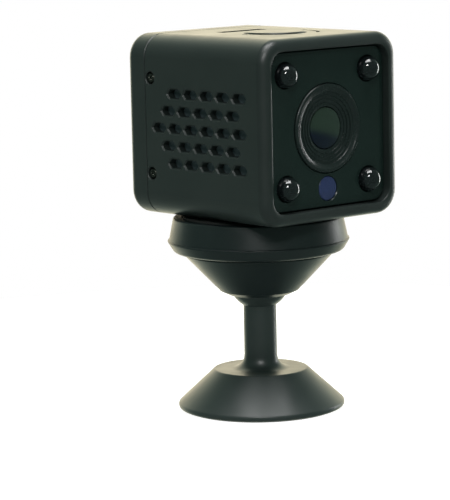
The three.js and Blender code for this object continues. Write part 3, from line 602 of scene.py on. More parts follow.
def cube_offset() -> Vector:
    """How far the cube stands off the stand's axis, from its shell's packed box."""
    low, high = (Vector(corner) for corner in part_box("main_shell"))
    return Vector(((low.x + high.x) / 2, low.y + CUBE_DEPTH / 2 * MM, 0.0))


def settle(piece: bpy.types.Object, finish: Finish, body: str, slot: str, *nodes: str) -> bpy.types.Object:
    """Dresses a finished piece, hangs it on its body and hides the CAD nodes that it stands for.

    Args:
        piece: The piece, in its place.
        finish: Its finish.
        body: The body it rides on.
        slot: The record's material slot. It is not used.
        nodes: CAD nodes that it stands for.

    Returns:
        The piece.
    """
    piece.data.materials.clear()
    piece.data.materials.append(finish.material())
    if body in CUBE_BODIES:
        turned_about(piece, Matrix.Translation(cube_offset()))
    soften(piece)
    if nodes:
        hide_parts(*nodes)
    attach(piece, body)
    LOG.info("%s: %d faces, rides on %s", piece.name, len(piece.data.polygons), body)
    return piece


# ---- Geometry Nodes ----


class Repeat:
    """Geometry Nodes trees for what repeats. Each ends in real geometry with its material."""

    @staticmethod
    def tree(name: str, sockets: dict[str, str]) -> tuple[bpy.types.NodeTree, bpy.types.Node]:
        """A new tree with its named inputs.

        Args:
            name: Name of the tree.
            sockets: Socket type of each input, by name.

        Returns:
            The tree and its input node.
        """
        made = bpy.data.node_groups.new(name, "GeometryNodeTree")
        made.interface.new_socket(name="Geometry", in_out="INPUT", socket_type="NodeSocketGeometry")
        for label, kind in sockets.items():
            made.interface.new_socket(name=label, in_out="INPUT", socket_type=f"NodeSocket{kind}")
        made.interface.new_socket(name="Geometry", in_out="OUTPUT", socket_type="NodeSocketGeometry")
        return made, add_node(made, "NodeGroupInput")

    @staticmethod
    def close(tree: bpy.types.NodeTree, geometry: bpy.types.NodeSocket,
              material: bpy.types.NodeSocket) -> None:
        """Ends a tree in Realize Instances and Set Material."""
        real = add_node(tree, "GeometryNodeRealizeInstances", {0: geometry})
        dressed = add_node(tree, "GeometryNodeSetMaterial",
                           {"Geometry": real.outputs[0], "Material": material})
        add_node(tree, "NodeGroupOutput", {0: dressed.outputs[0]})

    @staticmethod
    def run(base: bpy.types.Object, tree: bpy.types.NodeTree, values: dict[str, object]) -> bpy.types.Object:
        """Runs a tree on an object and keeps what it makes as a plain mesh.

        Args:
            base: The object.
            tree: The tree.
            values: Value of each input, by name.

        Returns:
            The object.
        """
        modifier = base.modifiers.new(tree.name, "NODES")
        modifier.node_group = tree
        for item in tree.interface.items_tree:
            if item.in_out == "INPUT" and item.name in values:
                modifier[item.identifier] = values[item.name]
        return bake(base)

    @classmethod
    def perforate(cls, shell: bpy.types.Object, hole: bpy.types.Object, rows: int,
                  values: dict[str, object]) -> bpy.types.Object:
        """Cuts staggered rows of one hole shape.

        Args:
            shell: The wall that is cut.
            hole: The hole's cutter at the origin, which is used up.
            rows: Number of rows. The middle one is the long one.
            values: First Hole, Pitch, Row Pitch, Stagger, Long Row, Short Row and Finish.

        Returns:
            The perforated wall.
        """
        tree, given = cls.tree("vent_perforation", {
            "Hole": "Object", "First Hole": "Vector", "Pitch": "Float", "Row Pitch": "Float",
            "Stagger": "Float", "Long Row": "Int", "Short Row": "Int", "Finish": "Material"})
        get = given.outputs
        shape = add_node(tree, "GeometryNodeObjectInfo", {"Object": get["Hole"]})
        pitch = add_node(tree, "ShaderNodeCombineXYZ", {"Y": get["Pitch"]})
        joined = add_node(tree, "GeometryNodeJoinGeometry")
        for row in range(rows):
            rise = add_node(tree, "ShaderNodeMath", {0: get["Row Pitch"], 1: row - (rows - 1) / 2},
                            operation="MULTIPLY")
            shift = add_node(tree, "ShaderNodeMath", {0: get["Stagger"], 1: float(row % 2)},
                             operation="MULTIPLY")
            step = add_node(tree, "ShaderNodeCombineXYZ", {"Y": shift.outputs[0], "Z": rise.outputs[0]})
            start = add_node(tree, "ShaderNodeVectorMath", {0: get["First Hole"], 1: step.outputs[0]})
            line = add_node(tree, "GeometryNodeMeshLine", {
                "Count": get["Long Row" if row == rows // 2 else "Short Row"],
                "Start Location": start.outputs[0], "Offset": pitch.outputs[0]}, mode="OFFSET")
            tree.links.new(line.outputs[0], joined.inputs[0])
        holes = add_node(tree, "GeometryNodeInstanceOnPoints", {
            "Points": joined.outputs[0], "Instance": shape.outputs["Geometry"]})
        cutters = add_node(tree, "GeometryNodeRealizeInstances", {0: holes.outputs[0]})
        cut = add_node(tree, "GeometryNodeMeshBoolean", {0: get["Geometry"], 1: cutters.outputs[0]},
                       operation="DIFFERENCE", solver="EXACT")
        cls.close(tree, cut.outputs["Mesh"], get["Finish"])
        cls.run(shell, tree, {"Hole": hole, **values})
        bpy.data.objects.remove(hole)
        return shell

    @classmethod
    def copies(cls, name: str, piece: bpy.types.Object, places: Sequence[Point], finish: Finish,
               turns: Sequence[Point] | None = None) -> bpy.types.Object:
        """Sets copies of a piece at places.

        Args:
            name: Name of the result.
            piece: The piece at the origin, which is used up.
            places: Where the copies go, in millimetres.
            finish: Their finish.
            turns: Turn of each copy about X, Y and Z in degrees, or None.

        Returns:
            One object with every copy.
        """
        tree = bpy.data.node_groups.get("copies_at_places")
        if not tree:
            tree, given = cls.tree("copies_at_places", {"Piece": "Object", "Finish": "Material"})
            shape = add_node(tree, "GeometryNodeObjectInfo", {"Object": given.outputs["Piece"]})
            turn = add_node(tree, "GeometryNodeInputNamedAttribute", {"Name": "turn"},
                            data_type="FLOAT_VECTOR")
            angle = add_node(tree, "FunctionNodeEulerToRotation", {0: turn.outputs[0]})
            copies = add_node(tree, "GeometryNodeInstanceOnPoints", {
                "Points": given.outputs["Geometry"], "Instance": shape.outputs["Geometry"],
                "Rotation": angle.outputs[0]})
            cls.close(tree, copies.outputs[0], given.outputs["Finish"])
        base = mesh_object(name, places, [])
        spin = base.data.attributes.new("turn", "FLOAT_VECTOR", "POINT")
        for i, angles in enumerate(turns or [(0.0, 0.0, 0.0)] * len(places)):
            spin.data[i].vector = [math.radians(a) for a in angles]
        cls.run(base, tree, {"Piece": piece, "Finish": finish.material()})
        bpy.data.objects.remove(piece)
        return base

    @classmethod
    def populate(cls, name: str, part: bpy.types.Object, finish: Finish, size: tuple[float, float],
                 cells: tuple[int, int], place: Point, turn: Point, seed: int) -> bpy.types.Object:
        """Puts small parts on a board, at seeded places of a grid.

        Args:
            name: Name of the result.
            part: One small part, standing on the origin, which is used up.
            finish: Its finish.
            size: Width and height of the grid in millimetres.
            cells: Grid points each way.
            place: Centre of the grid.
            turn: Turn of the grid about X, Y and Z in degrees.
            seed: Seed of the draws.

        Returns:
            One object with every part.
        """
        tree = bpy.data.node_groups.get("board_parts")
        if not tree:
            tree, given = cls.tree("board_parts", {
                "Part": "Object", "Width": "Float", "Height": "Float", "Columns": "Int", "Rows": "Int",
                "Share": "Float", "Place": "Vector", "Turn": "Vector", "Seed": "Int", "Finish": "Material"})
            get = given.outputs
            shape = add_node(tree, "GeometryNodeObjectInfo", {"Object": get["Part"]})
            grid = add_node(tree, "GeometryNodeMeshGrid", {
                "Size X": get["Width"], "Size Y": get["Height"], "Vertices X": get["Columns"],
                "Vertices Y": get["Rows"]})
            drop = add_node(tree, "FunctionNodeRandomValue",
                            {"Probability": get["Share"], "Seed": get["Seed"]},
                            data_type="BOOLEAN")
            left = add_node(tree, "GeometryNodeDeleteGeometry", {0: grid.outputs[0], 1: drop.outputs[3]})
            quarter = add_node(tree, "FunctionNodeRandomValue", {4: 0, 5: 3, "Seed": get["Seed"]},
                               data_type="INT")
            angle = add_node(tree, "ShaderNodeMath", {0: quarter.outputs[2], 1: math.pi / 2},
                             operation="MULTIPLY")
            about = add_node(tree, "ShaderNodeCombineXYZ", {"Z": angle.outputs[0]})
            spin = add_node(tree, "FunctionNodeEulerToRotation", {0: about.outputs[0]})
            scale = add_node(tree, "FunctionNodeRandomValue", {
                0: (0.7, 0.7, 0.6), 1: (1.25, 1.3, 1.3), "Seed": get["Seed"]}, data_type="FLOAT_VECTOR")
            parts = add_node(tree, "GeometryNodeInstanceOnPoints", {
                "Points": left.outputs[0], "Instance": shape.outputs["Geometry"],
                "Rotation": spin.outputs[0], "Scale": scale.outputs[0]})
            way = add_node(tree, "FunctionNodeEulerToRotation", {0: get["Turn"]})
            moved = add_node(tree, "GeometryNodeTransform", {
                "Geometry": parts.outputs[0], "Translation": get["Place"], "Rotation": way.outputs[0]})
            cls.close(tree, moved.outputs[0], get["Finish"])
        base = mesh_object(name, [(0.0, 0.0, 0.0)], [])
        cls.run(base, tree, {
            "Part": part, "Width": size[0] * MM, "Height": size[1] * MM, "Columns": cells[0],
            "Rows": cells[1],
            "Share": 0.35, "Place": [v * MM for v in place], "Turn": [math.radians(a) for a in turn],
            "Seed": seed, "Finish": finish.material()})
        bpy.data.objects.remove(part)
        return base


def cross_recess(size: float, depth: float, axis: Axis, face: float, centre: tuple[float, float],
                 inward: int) -> list[bpy.types.Object]:
    """Cutters for a tapered cross-head drive.

    Args:
        size: Length of the slots across.
        depth: Depth of the recess.
        axis: Axis of the screw.
        face: Where its face is on that axis.
        centre: The axis's place in the other two directions.
        inward: Direction into the screw, 1 or -1.

    Returns:
        One cutter for each slot.
    """
    made = []
    for across in (True, False):
        slots = [rounded(*((length, width) if across else (width, length)), width * 0.3, 2, centre)
                 for length, width in ((size * 1.1, size * 0.27), (size, size * 0.24),
                                       (size * 0.35, size * 0.16))]
        places = [face - inward * 0.2, face, face + inward * depth]
        rings = [[placed(x, y, at, axis) for x, y in slot] for slot, at in zip(slots, places)]
        made.append(loft("cross", rings, Ends.CAPPED))
    return made


# ---- Stand ----


@dataclass
class StandFoot:
    """Weighted foot with a rubber pad below and the ball post screwed into it."""

    radius: float = 17.65
    lift: float = 0.25
    rim: float = 0.8
    top_radius: float = 10.3
    top: float = 8.55
    fillet: float = 2.8
    pad_radius: float = 16.5
    pad_thickness: float = 1.0
    weight_height: float = 3.4
    weight_inner: float = 5.3
    weight_outer: float = 11.0
    screw_head: float = 3.0
    screw_bore: float = 1.65
    socket_depth: float = 4.0
    stem: float = 3.48
    stem_foot: float = 3.5
    ball: float = 6.6
    ball_height: float = 27.7

    @property
    def recess(self) -> float:
        """Height of the face that the pad is stuck to."""
        return self.lift + self.pad_thickness

    def build(self) -> None:
        """Builds and dresses every piece of the foot."""
        settle(self.pad(), RUBBER, "stand", "rubber", "foot_pad")
        settle(self.shell(), STAND, "stand", "stand_plastic", "foot_shell")
        settle(self.weight(), STEEL, "stand", "steel", "foot_weight")
        settle(self.screw(), STEEL, "stand", "steel", "stem_screw")
        settle(self.post(), STAND, "stand", "stand_plastic", "ball_stem")

    def pad(self) -> bpy.types.Object:
        """Rubber disc with grip rings underneath."""
        rings = [p for r in (5.0, 8.0, 11.0, 14.0)
                 for p in ((r, 0.0), (r + 0.15, 0.22), (r + 0.65, 0.22), (r + 0.8, 0.0))]
        return turned("foot_pad_rubber", [
            (0.0, 0.0), *rings, *round_edge(self.pad_radius, 0.0, 0.25, True, False),
            *round_edge(self.pad_radius, 1.0, 0.15, True, True), (0.0, 1.0)])

    def shell(self) -> bpy.types.Object:
        """Cone with a rounded rim, a flat top and a fillet that runs up to the post."""
        low, high, recess = self.lift + self.rim, self.top, self.recess
        lip, bore, head = self.stem_foot + 0.03, self.screw_bore, self.screw_head + ROOM
        inner, outer = self.weight_inner - ROOM, self.weight_outer + ROOM
        seat, cavity, floor = recess + 2.4, recess + self.weight_height + 0.6, high - self.socket_depth
        return turned("foot_shell_cone", [
            (bore, seat), (head, seat), (head, recess), (inner, recess), (inner, cavity), (outer, cavity),
            (outer, recess), (self.pad_radius + 0.2, recess), (self.pad_radius + 0.2, self.lift + 0.1),
            (self.pad_radius + 0.3, self.lift),
            *arc((self.radius - self.rim, low), self.rim, -90, 42, 8),
            *arc((self.top_radius - 0.6, high - 0.6), 0.6, 42, 90, 6),
            *arc((lip + self.fillet, high + self.fillet), self.fillet, 270, 182, 12),
            (lip, high + self.fillet), (lip, floor), (bore, floor)], sides=128)

    def weight(self) -> bpy.types.Object:
        """Steel ring with broken edges."""
        low, high = self.recess + ROOM, self.recess + ROOM + self.weight_height
        inner, outer = self.weight_inner, self.weight_outer
        return turned("foot_weight_ring", [
            *round_edge(inner, low, 0.3, False, False, 1), *round_edge(outer, low, 0.3, True, False, 1),
            *round_edge(outer, high, 0.3, True, True, 1), *round_edge(inner, high, 0.3, False, True, 1)],
            sides=64)

    def screw(self) -> bpy.types.Object:
        """Pan-head screw with its thread ridges and a cross recess."""
        low, head = self.recess + ROOM, self.screw_head
        seat, tip = low + 1.8, low + 12.1
        ridges = [p for i in range(9) for p in ((1.4, seat + 0.8 + i), (1.2, seat + 1.3 + i))]
        screw = turned("stem_screw_steel", [
            (0.0, low), *round_edge(head, low, 0.4, True, False), (head, seat), (1.4, seat), *ridges,
            (1.4, tip - 0.5), (0.9, tip), (0.0, tip)], sides=32)
        return carve(screw, cross_recess(2.6, 1.0, Axis.Z, low, (0.0, 0.0), 1))

    def post(self) -> bpy.types.Object:
        """Round post with the ball on top, bored for its screw."""
        neck = math.degrees(math.asin(self.stem / self.ball))
        foot, end, bore = self.top - self.socket_depth + ROOM, self.recess + 12.7, self.screw_bore
        return turned("ball_post", [
            (0.0, end), (bore, end), (bore, foot), (self.stem_foot - 0.2, foot),
            (self.stem_foot, foot + 0.2), (self.stem_foot, self.top + self.fillet),
            *arc((0.0, self.ball_height), self.ball, neck - 90, 89.9, 30),
            (0.0, self.ball_height + self.ball)], sides=80)


@dataclass
class BallClamp:
    """Two nylon seats over the ball, the conical nut below, and the cup with its magnet and pad."""

    centre: float = 27.7
    ball: float = 6.6
    neck: float = 10.0
    neck_rise: float = 2.0
    nut_bottom: float = -3.2
    nut_top: float = 6.05
    nut_lip: float = 2.15
    nut_radius: float = 15.85
    disc_bottom: float = 33.8
    disc_top: float = 41.2
    lip: float = 18.4
    widest: float = 19.2
    shoulder: float = 2.1
    rim: float = 18.0
    pad: float = 15.9
    pad_low: float = 40.3
    pad_high: float = 41.5
    magnet_inner: float = 8.0
    magnet_outer: float = 14.0
    magnet_low: float = 37.4
    magnet_high: float = 40.0
    seat_wall: float = 0.55

    def build(self) -> None:
        """Builds and dresses every piece of the clamp."""
        settle(self.seat("inner_seat_bowl", self.ball + 0.3), NYLON, "pan_seat", "nylon", "inner_ball_seat")
        settle(self.seat("outer_seat_bowl", self.ball + 1.15), NYLON, "tilt_seat", "nylon",
               "outer_ball_seat")
        settle(self.nut(), CLAMP, "clamp_nut", "stand_plastic", "lock_nut")
        settle(self.cup(), CLAMP, "cup", "stand_plastic", "socket_cup")
        settle(self.magnet(), NICKEL, "cup", "magnet_plating", "ring_magnet")
        settle(self.grip(), RUBBER, "cup", "rubber", "grip_pad")

    def seat(self, name: str, radius: float) -> bpy.types.Object:
        """A thin bowl over the ball."""
        around = (0.0, self.centre)
        outer = radius + self.seat_wall
        return turned(name, [*arc(around, radius, 90, 28, 14), *arc(around, outer, 28, 90, 14)], sides=64)

    def nut(self) -> bpy.types.Object:
        """Cone whose lip holds the ball from below, threaded inside above it."""
        low, high, seat = self.centre + self.nut_bottom, self.centre + self.nut_top, self.ball + 0.3
        bore, start = self.neck + 0.3, self.centre + self.neck_rise - 0.3
        thread = [p for i in range(2)
                  for p in ((bore, start + 0.4 + i * 1.1), (bore + 0.2, start + 0.9 + i * 1.1))]
        mouth = math.sqrt(seat ** 2 - self.nut_bottom ** 2)
        lip = mouth + self.nut_lip
        return turned("lock_nut_cone", [
            *arc((0.0, self.centre), seat, math.degrees(math.asin(self.nut_bottom / seat)), 0, 8),
            (bore, start), *thread, (bore, high - 1.3), (bore + 1.0, high),
            *arc((self.nut_radius - 0.35, high - 0.35), 0.35, 90, -42, 5),
            *arc((lip - 0.25, low + 1.35), 0.6, -30, -75, 5), (mouth + 0.45, low),
            (mouth + 0.2, low + 0.05)], sides=128)

    def cup(self) -> bpy.types.Object:
        """Wide disc with a split neck below, and a recess above for the magnet and the pad."""
        low, high, socket = self.disc_bottom, self.disc_top, self.ball + 2.0
        neck_end = self.centre + self.neck_rise
        edge, floor, deep = self.pad + ROOM, self.magnet_high, self.magnet_low - ROOM
        inner, outer = self.magnet_inner - ROOM, self.magnet_outer + ROOM
        start = math.degrees(math.asin(self.neck_rise / socket))
        body = turned("socket_cup_disc", [
            (0.0, self.centre + socket), *arc((0.0, self.centre), socket, 89.9, start, 16),
            (self.neck, neck_end), (self.neck, low),
            (16.6, low), *arc((self.lip - 1.3, low + 1.3), 1.3, -80, -32, 6),
            *arc((self.widest - 0.22, low + self.shoulder + 0.22), 0.22, -40, 85, 7),
            (self.widest - 0.3, low + self.shoulder + 0.5),
            *arc((self.rim - 0.5, high - 0.5), 0.5, 12, 90, 6),
            (edge, high), (edge, floor), (outer, floor), (outer, deep), (inner, deep), (inner, floor),
            (0.0, floor)], sides=144)
        height = 2 * (low - neck_end - 0.3)
        middle = (0.0, 0.0, neck_end)
        return carve(body, [block("slit", (30.0, 0.8, height), middle, 0.05),
                            block("slit", (0.8, 30.0, height), middle, 0.05)])

    def magnet(self) -> bpy.types.Object:
        """Ring magnet with rounded edges."""
        inner, outer, low, high = self.magnet_inner, self.magnet_outer, self.magnet_low, self.magnet_high
        return turned("ring_magnet_plated", [
            *round_edge(inner, low, 0.35, False, False), *round_edge(outer, low, 0.35, True, False),
            *round_edge(outer, high, 0.35, True, True), *round_edge(inner, high, 0.35, False, True)])

    def grip(self) -> bpy.types.Object:
        """Rubber disc with fine rings on top."""
        low, high = self.pad_low, self.pad_high
        rings = [p for r in (14.0, 11.0, 8.0, 5.0)
                 for p in ((r + 0.6, high), (r + 0.5, high - 0.14), (r + 0.1, high - 0.14), (r, high))]
        return turned("grip_pad_rubber", [
            (0.0, low), *round_edge(self.pad, low, 0.2, True, False),
            *round_edge(self.pad, high, 0.35, True, True), *rings, (0.0, high)])


# ---- Cube ----


@dataclass
class Casing:
    """Rounded square tube with its vents, and the rear cover that four side screws hold."""

    width: float = 38.0
    depth: float = CUBE_DEPTH
    middle: float = CUBE_MIDDLE
    corner: float = 5.0
    edge: float = 2.0
    wall: float = 1.8
    rim: float = 2.6
    rim_corner: float = 3.2
    seam: float = 15.3
    seam_gap: float = 0.12
    button_y: float = BUTTON_Y
    screw_y: float = 13.7
    screw_spread: float = 10.0
    vent_half: float = 2.15
    vent_flat: float = 1.35
    vent_rise: float = 0.95
    vent_flare: float = 0.28
    vent_first: float = -13.9
    vent_drop: float = 0.25
    vent_pitch: float = 5.0
    vent_row_pitch: float = 3.63
    vent_stagger: float = 2.0

    def build(self) -> None:
        """Builds and dresses every piece of the casing."""
        settle(self.shell(), SHELL, "camera", "shell_plastic", "main_shell")
        settle(self.cover(), SHELL, "camera", "shell_plastic", "rear_cover")
        settle(self.cloth(), CLOTH_PAINTED_HAZE, "camera", "shell_plastic")
        settle(self.screws(), BLACK_STEEL, "camera", "black_screw",
               *[f"side_screw_{i}" for i in (1, 2, 3, 4)])
        settle(block("steel_plate_zinc", (24.0, 24.0, 0.8), (0.0, 0.0, 44.3), 0.2), STEEL, "camera", "steel",
               "steel_plate")

    def ring(self, inset: float, corner: float, y: float) -> list[Point]:
        """The cube's outline, drawn in by an inset, at a depth."""
        size = self.width - 2 * inset
        return [(x, y, z) for x, z in rounded(size, size, corner, 8, (0.0, self.middle))]

    def edge_rings(self, rear: bool) -> list[list[Point]]:
        """Rings of the rounded front or rear edge, from the flat face outwards."""
        rings = []
        for i in range(8):
            turn = math.radians(90 * i / 7)
            inset = self.edge * (1 - math.sin(turn))
            y = self.depth / 2 - self.edge * (1 - math.cos(turn))
            rings.append(self.ring(inset, self.corner - inset, y if rear else -y))
        return rings

    def shell(self) -> bpy.types.Object:
        """Tube with a rim and a ledge in front, its vents and its top openings."""
        front, end = -self.depth / 2, self.seam - self.seam_gap / 2
        inner = self.corner - self.wall
        ledge_in = self.rim + 1.5
        shell = loft("main_shell_moulded", [
            self.ring(self.rim, self.rim_corner, -18.1), self.ring(self.rim, self.rim_corner, front + 0.35),
            self.ring(self.rim - 0.1, self.rim_corner, front + 0.1),
            self.ring(self.rim - 0.3, self.rim_corner, front), *self.edge_rings(False),
            self.ring(0.0, self.corner, end - 0.15), self.ring(0.12, self.corner, end),
            self.ring(self.wall, inner, end), self.ring(self.wall, inner, -17.3),
            self.ring(ledge_in, self.rim_corner, -17.3), self.ring(ledge_in, self.rim_corner, -18.1)],
            Ends.JOINED)
        shell.data.materials.append(SHELL.material())
        posts = [block("post", (3.6, 6.0, 3.4), (side * 15.6, -0.3, self.middle + side * 12.2), 0.2)
                 for side in (-1, 1)]
        carve(shell, posts, "UNION")
        top = self.middle + self.width / 2
        cutters = [
            turned("hole", [(0.0, top - 4), (6.5, top - 4), (6.5, top - 0.3),
                            *arc((6.8, top - 0.3), 0.3, 180, 90, 3), (7.2, top + 1), (0.0, top + 1)],
                   centre=(0.0, self.button_y, 0.0)),
            turned("pinhole", [(0.0, top - 4), (0.5, top - 4), (0.5, top - 0.12), (0.62, top),
                               (0.7, top + 1), (0.0, top + 1)], centre=(*PIPE_PLACE, 0.0), sides=24),
            drawn("slot", rounded(11.4, 1.1, 0.25, 3, (0.0, SLOT_Y)), Axis.Z, top - 4, top + 0.5),
            drawn("thumb_step", rounded(12.2, 2.6, 0.3, 3, (0.0, SLOT_Y)), Axis.Z, top - 0.4, top + 0.5),
            self.groove(top)]
        for side in (-1, 1):
            for rise in (-1, 1):
                spot = (side * self.width / 2, self.screw_y, self.middle + rise * self.screw_spread)
                profile = [(0.0, -8.0), (0.85, -8.0), (0.85, -1.2), (1.35, -1.2), (1.35, -0.15), (1.5, 0.0),
                           (1.6, 1.0), (0.0, 1.0)]
                cutters.append(turned("screw_hole", [(r, side * a) for r, a in profile], Axis.X, spot, 32))
        carve(shell, cutters)
        return self.perforated(shell)

    def groove(self, top: float) -> bpy.types.Object:
        """Cutter of the curved sound groove beside the button."""
        centre = (0.0, self.button_y)
        inner, outer = arc(centre, 8.55, 35, -50, 20), arc(centre, 9.25, -50, 35, 20)
        return drawn("groove", [*outer, *inner], Axis.Z, top - 0.8, top + 0.5)

    def perforated(self, shell: bpy.types.Object) -> bpy.types.Object:
        """Cuts the hexagonal vents through both sides.

        Args:
            shell: The tube.

        Returns:
            The tube with its vents.
        """
        long, flat, rise = self.vent_half, self.vent_flat, self.vent_rise
        outline = [(long, 0.0), (flat, rise), (-flat, rise), (-long, 0.0), (-flat, -rise), (flat, -rise)]
        soft = [p for i, here in enumerate(outline)
                for p in self.eased(outline[i - 1], here, outline[(i + 1) % 6])]
        half, flare = self.width / 2, self.vent_flare
        levels = [(flare * 3, -half - 2 * flare), (flare, -half), (0.0, -half + flare), (0.0, half - flare),
                  (flare, half), (flare * 3, half + 2 * flare)]
        rings = [[(x, y, z) for y, z in (grown(soft, by) if by else soft)] for by, x in levels]
        hole = loft("vent", rings, Ends.CAPPED)
        return Repeat.perforate(shell, hole, 5, {
            "First Hole": [0.0, self.vent_first * MM, (self.middle - self.vent_drop) * MM],
            "Pitch": self.vent_pitch * MM, "Row Pitch": self.vent_row_pitch * MM,
            "Stagger": self.vent_stagger * MM, "Long Row": 6, "Short Row": 5, "Finish": SHELL.material()})

    @staticmethod
    def eased(before: tuple[float, float], here: tuple[float, float], after: tuple[float, float]) -> Outline:
        """The corner of an outline rounded with three points, as a mould's own corners are."""
        one, mid, two = Vector(before), Vector(here), Vector(after)
        start, end = mid + (one - mid).normalized() * 0.18, mid + (two - mid).normalized() * 0.18
        top = (start + end) / 4 + mid / 2
        return [tuple(start), tuple(top), tuple(end)]

    def cover(self) -> bpy.types.Object:
        """Cap behind, with a lip and four screw ears inside the shell."""
        start, rear = self.seam + self.seam_gap / 2, self.depth / 2
        lip, cavity = self.wall + 0.3, self.wall + 1.5
        cover = loft("rear_cover_moulded", [
            self.ring(cavity, 1.7, rear - self.wall), self.ring(cavity, 1.7, self.seam - 1.4),
            self.ring(lip, 2.9, self.seam - 1.4), self.ring(lip, 2.9, start), self.ring(0.12, 4.9, start),
            self.ring(0.0, self.corner, start + 0.15), *reversed(self.edge_rings(True))], Ends.CAPPED)
        ears = [block("ear", (2.5, 5.0, 5.0), (side * 15.65, 13.8, self.middle + rise * self.screw_spread),
                      0.2)
                for side in (-1, 1) for rise in (-1, 1)]
        carve(cover, ears, "UNION")
        bores = [turned("bore", [(0.0, -19.0), (0.85, -19.0), (0.85, 19.0), (0.0, 19.0)], Axis.X,
                        (0.0, self.screw_y, self.middle + rise * self.screw_spread), 24) for rise in (-1, 1)]
        mouth = drawn("mouth", rounded(8.2, 3.4, 1.0, 5, (0.0, self.middle - 9.0)), Axis.Y, rear - 4, rear,
                      (0.0, -0.25), 3)
        pin = turned("pin", [(0.0, rear - 4), (0.7, rear - 4), (0.7, rear - 0.15), (0.85, rear),
                             (0.9, rear + 1), (0.0, rear + 1)], Axis.Y, (0.0, 0.0, self.middle + 8.0), 32)
        return carve(cover, [*bores, mouth, pin])

    def cloth(self) -> bpy.types.Object:
        """Dust cloth glued behind the vents of both sides; its pale colour paints a haze of light into their
        shade.
        """
        return merged("vent_dust_cloth", [
            block("sheet", (0.2, depth, height), (side * 17.0, y, self.middle - self.vent_drop), 0.02)
            for side in (-1, 1) for depth, height, y in ((28.0, 17.4, -2.85), (3.0, 4.0, 12.65))])

    def screws(self) -> bpy.types.Object:
        """Four small pan-head screws."""
        ridges = [p for i in range(6) for p in ((0.6, -1.6 - i * 0.5), (0.45, -1.85 - i * 0.5))]
        screw = turned("side_screw", [
            (0.0, 0.0), (0.4, -0.02), (0.8, -0.12), (1.08, -0.35), (1.15, -0.6), (1.15, -0.9), (0.6, -0.9),
            *ridges, (0.3, -5.0), (0.0, -5.1)], Axis.X, sides=32)
        carve(screw, cross_recess(1.5, 0.55, Axis.X, -0.02, (0.0, 0.0), -1))
        soften(screw)
        places, turns = [], []
        for side in (-1, 1):
            for rise in (-1, 1):
                places.append((side * 18.9, self.screw_y, self.middle + rise * self.screw_spread))
                turns.append((25.0 + 40.0 * rise + 20.0 * side, 0.0, 0.0 if side > 0 else 180.0))
        return Repeat.copies("side_screws_black", screw, places, BLACK_STEEL, turns)


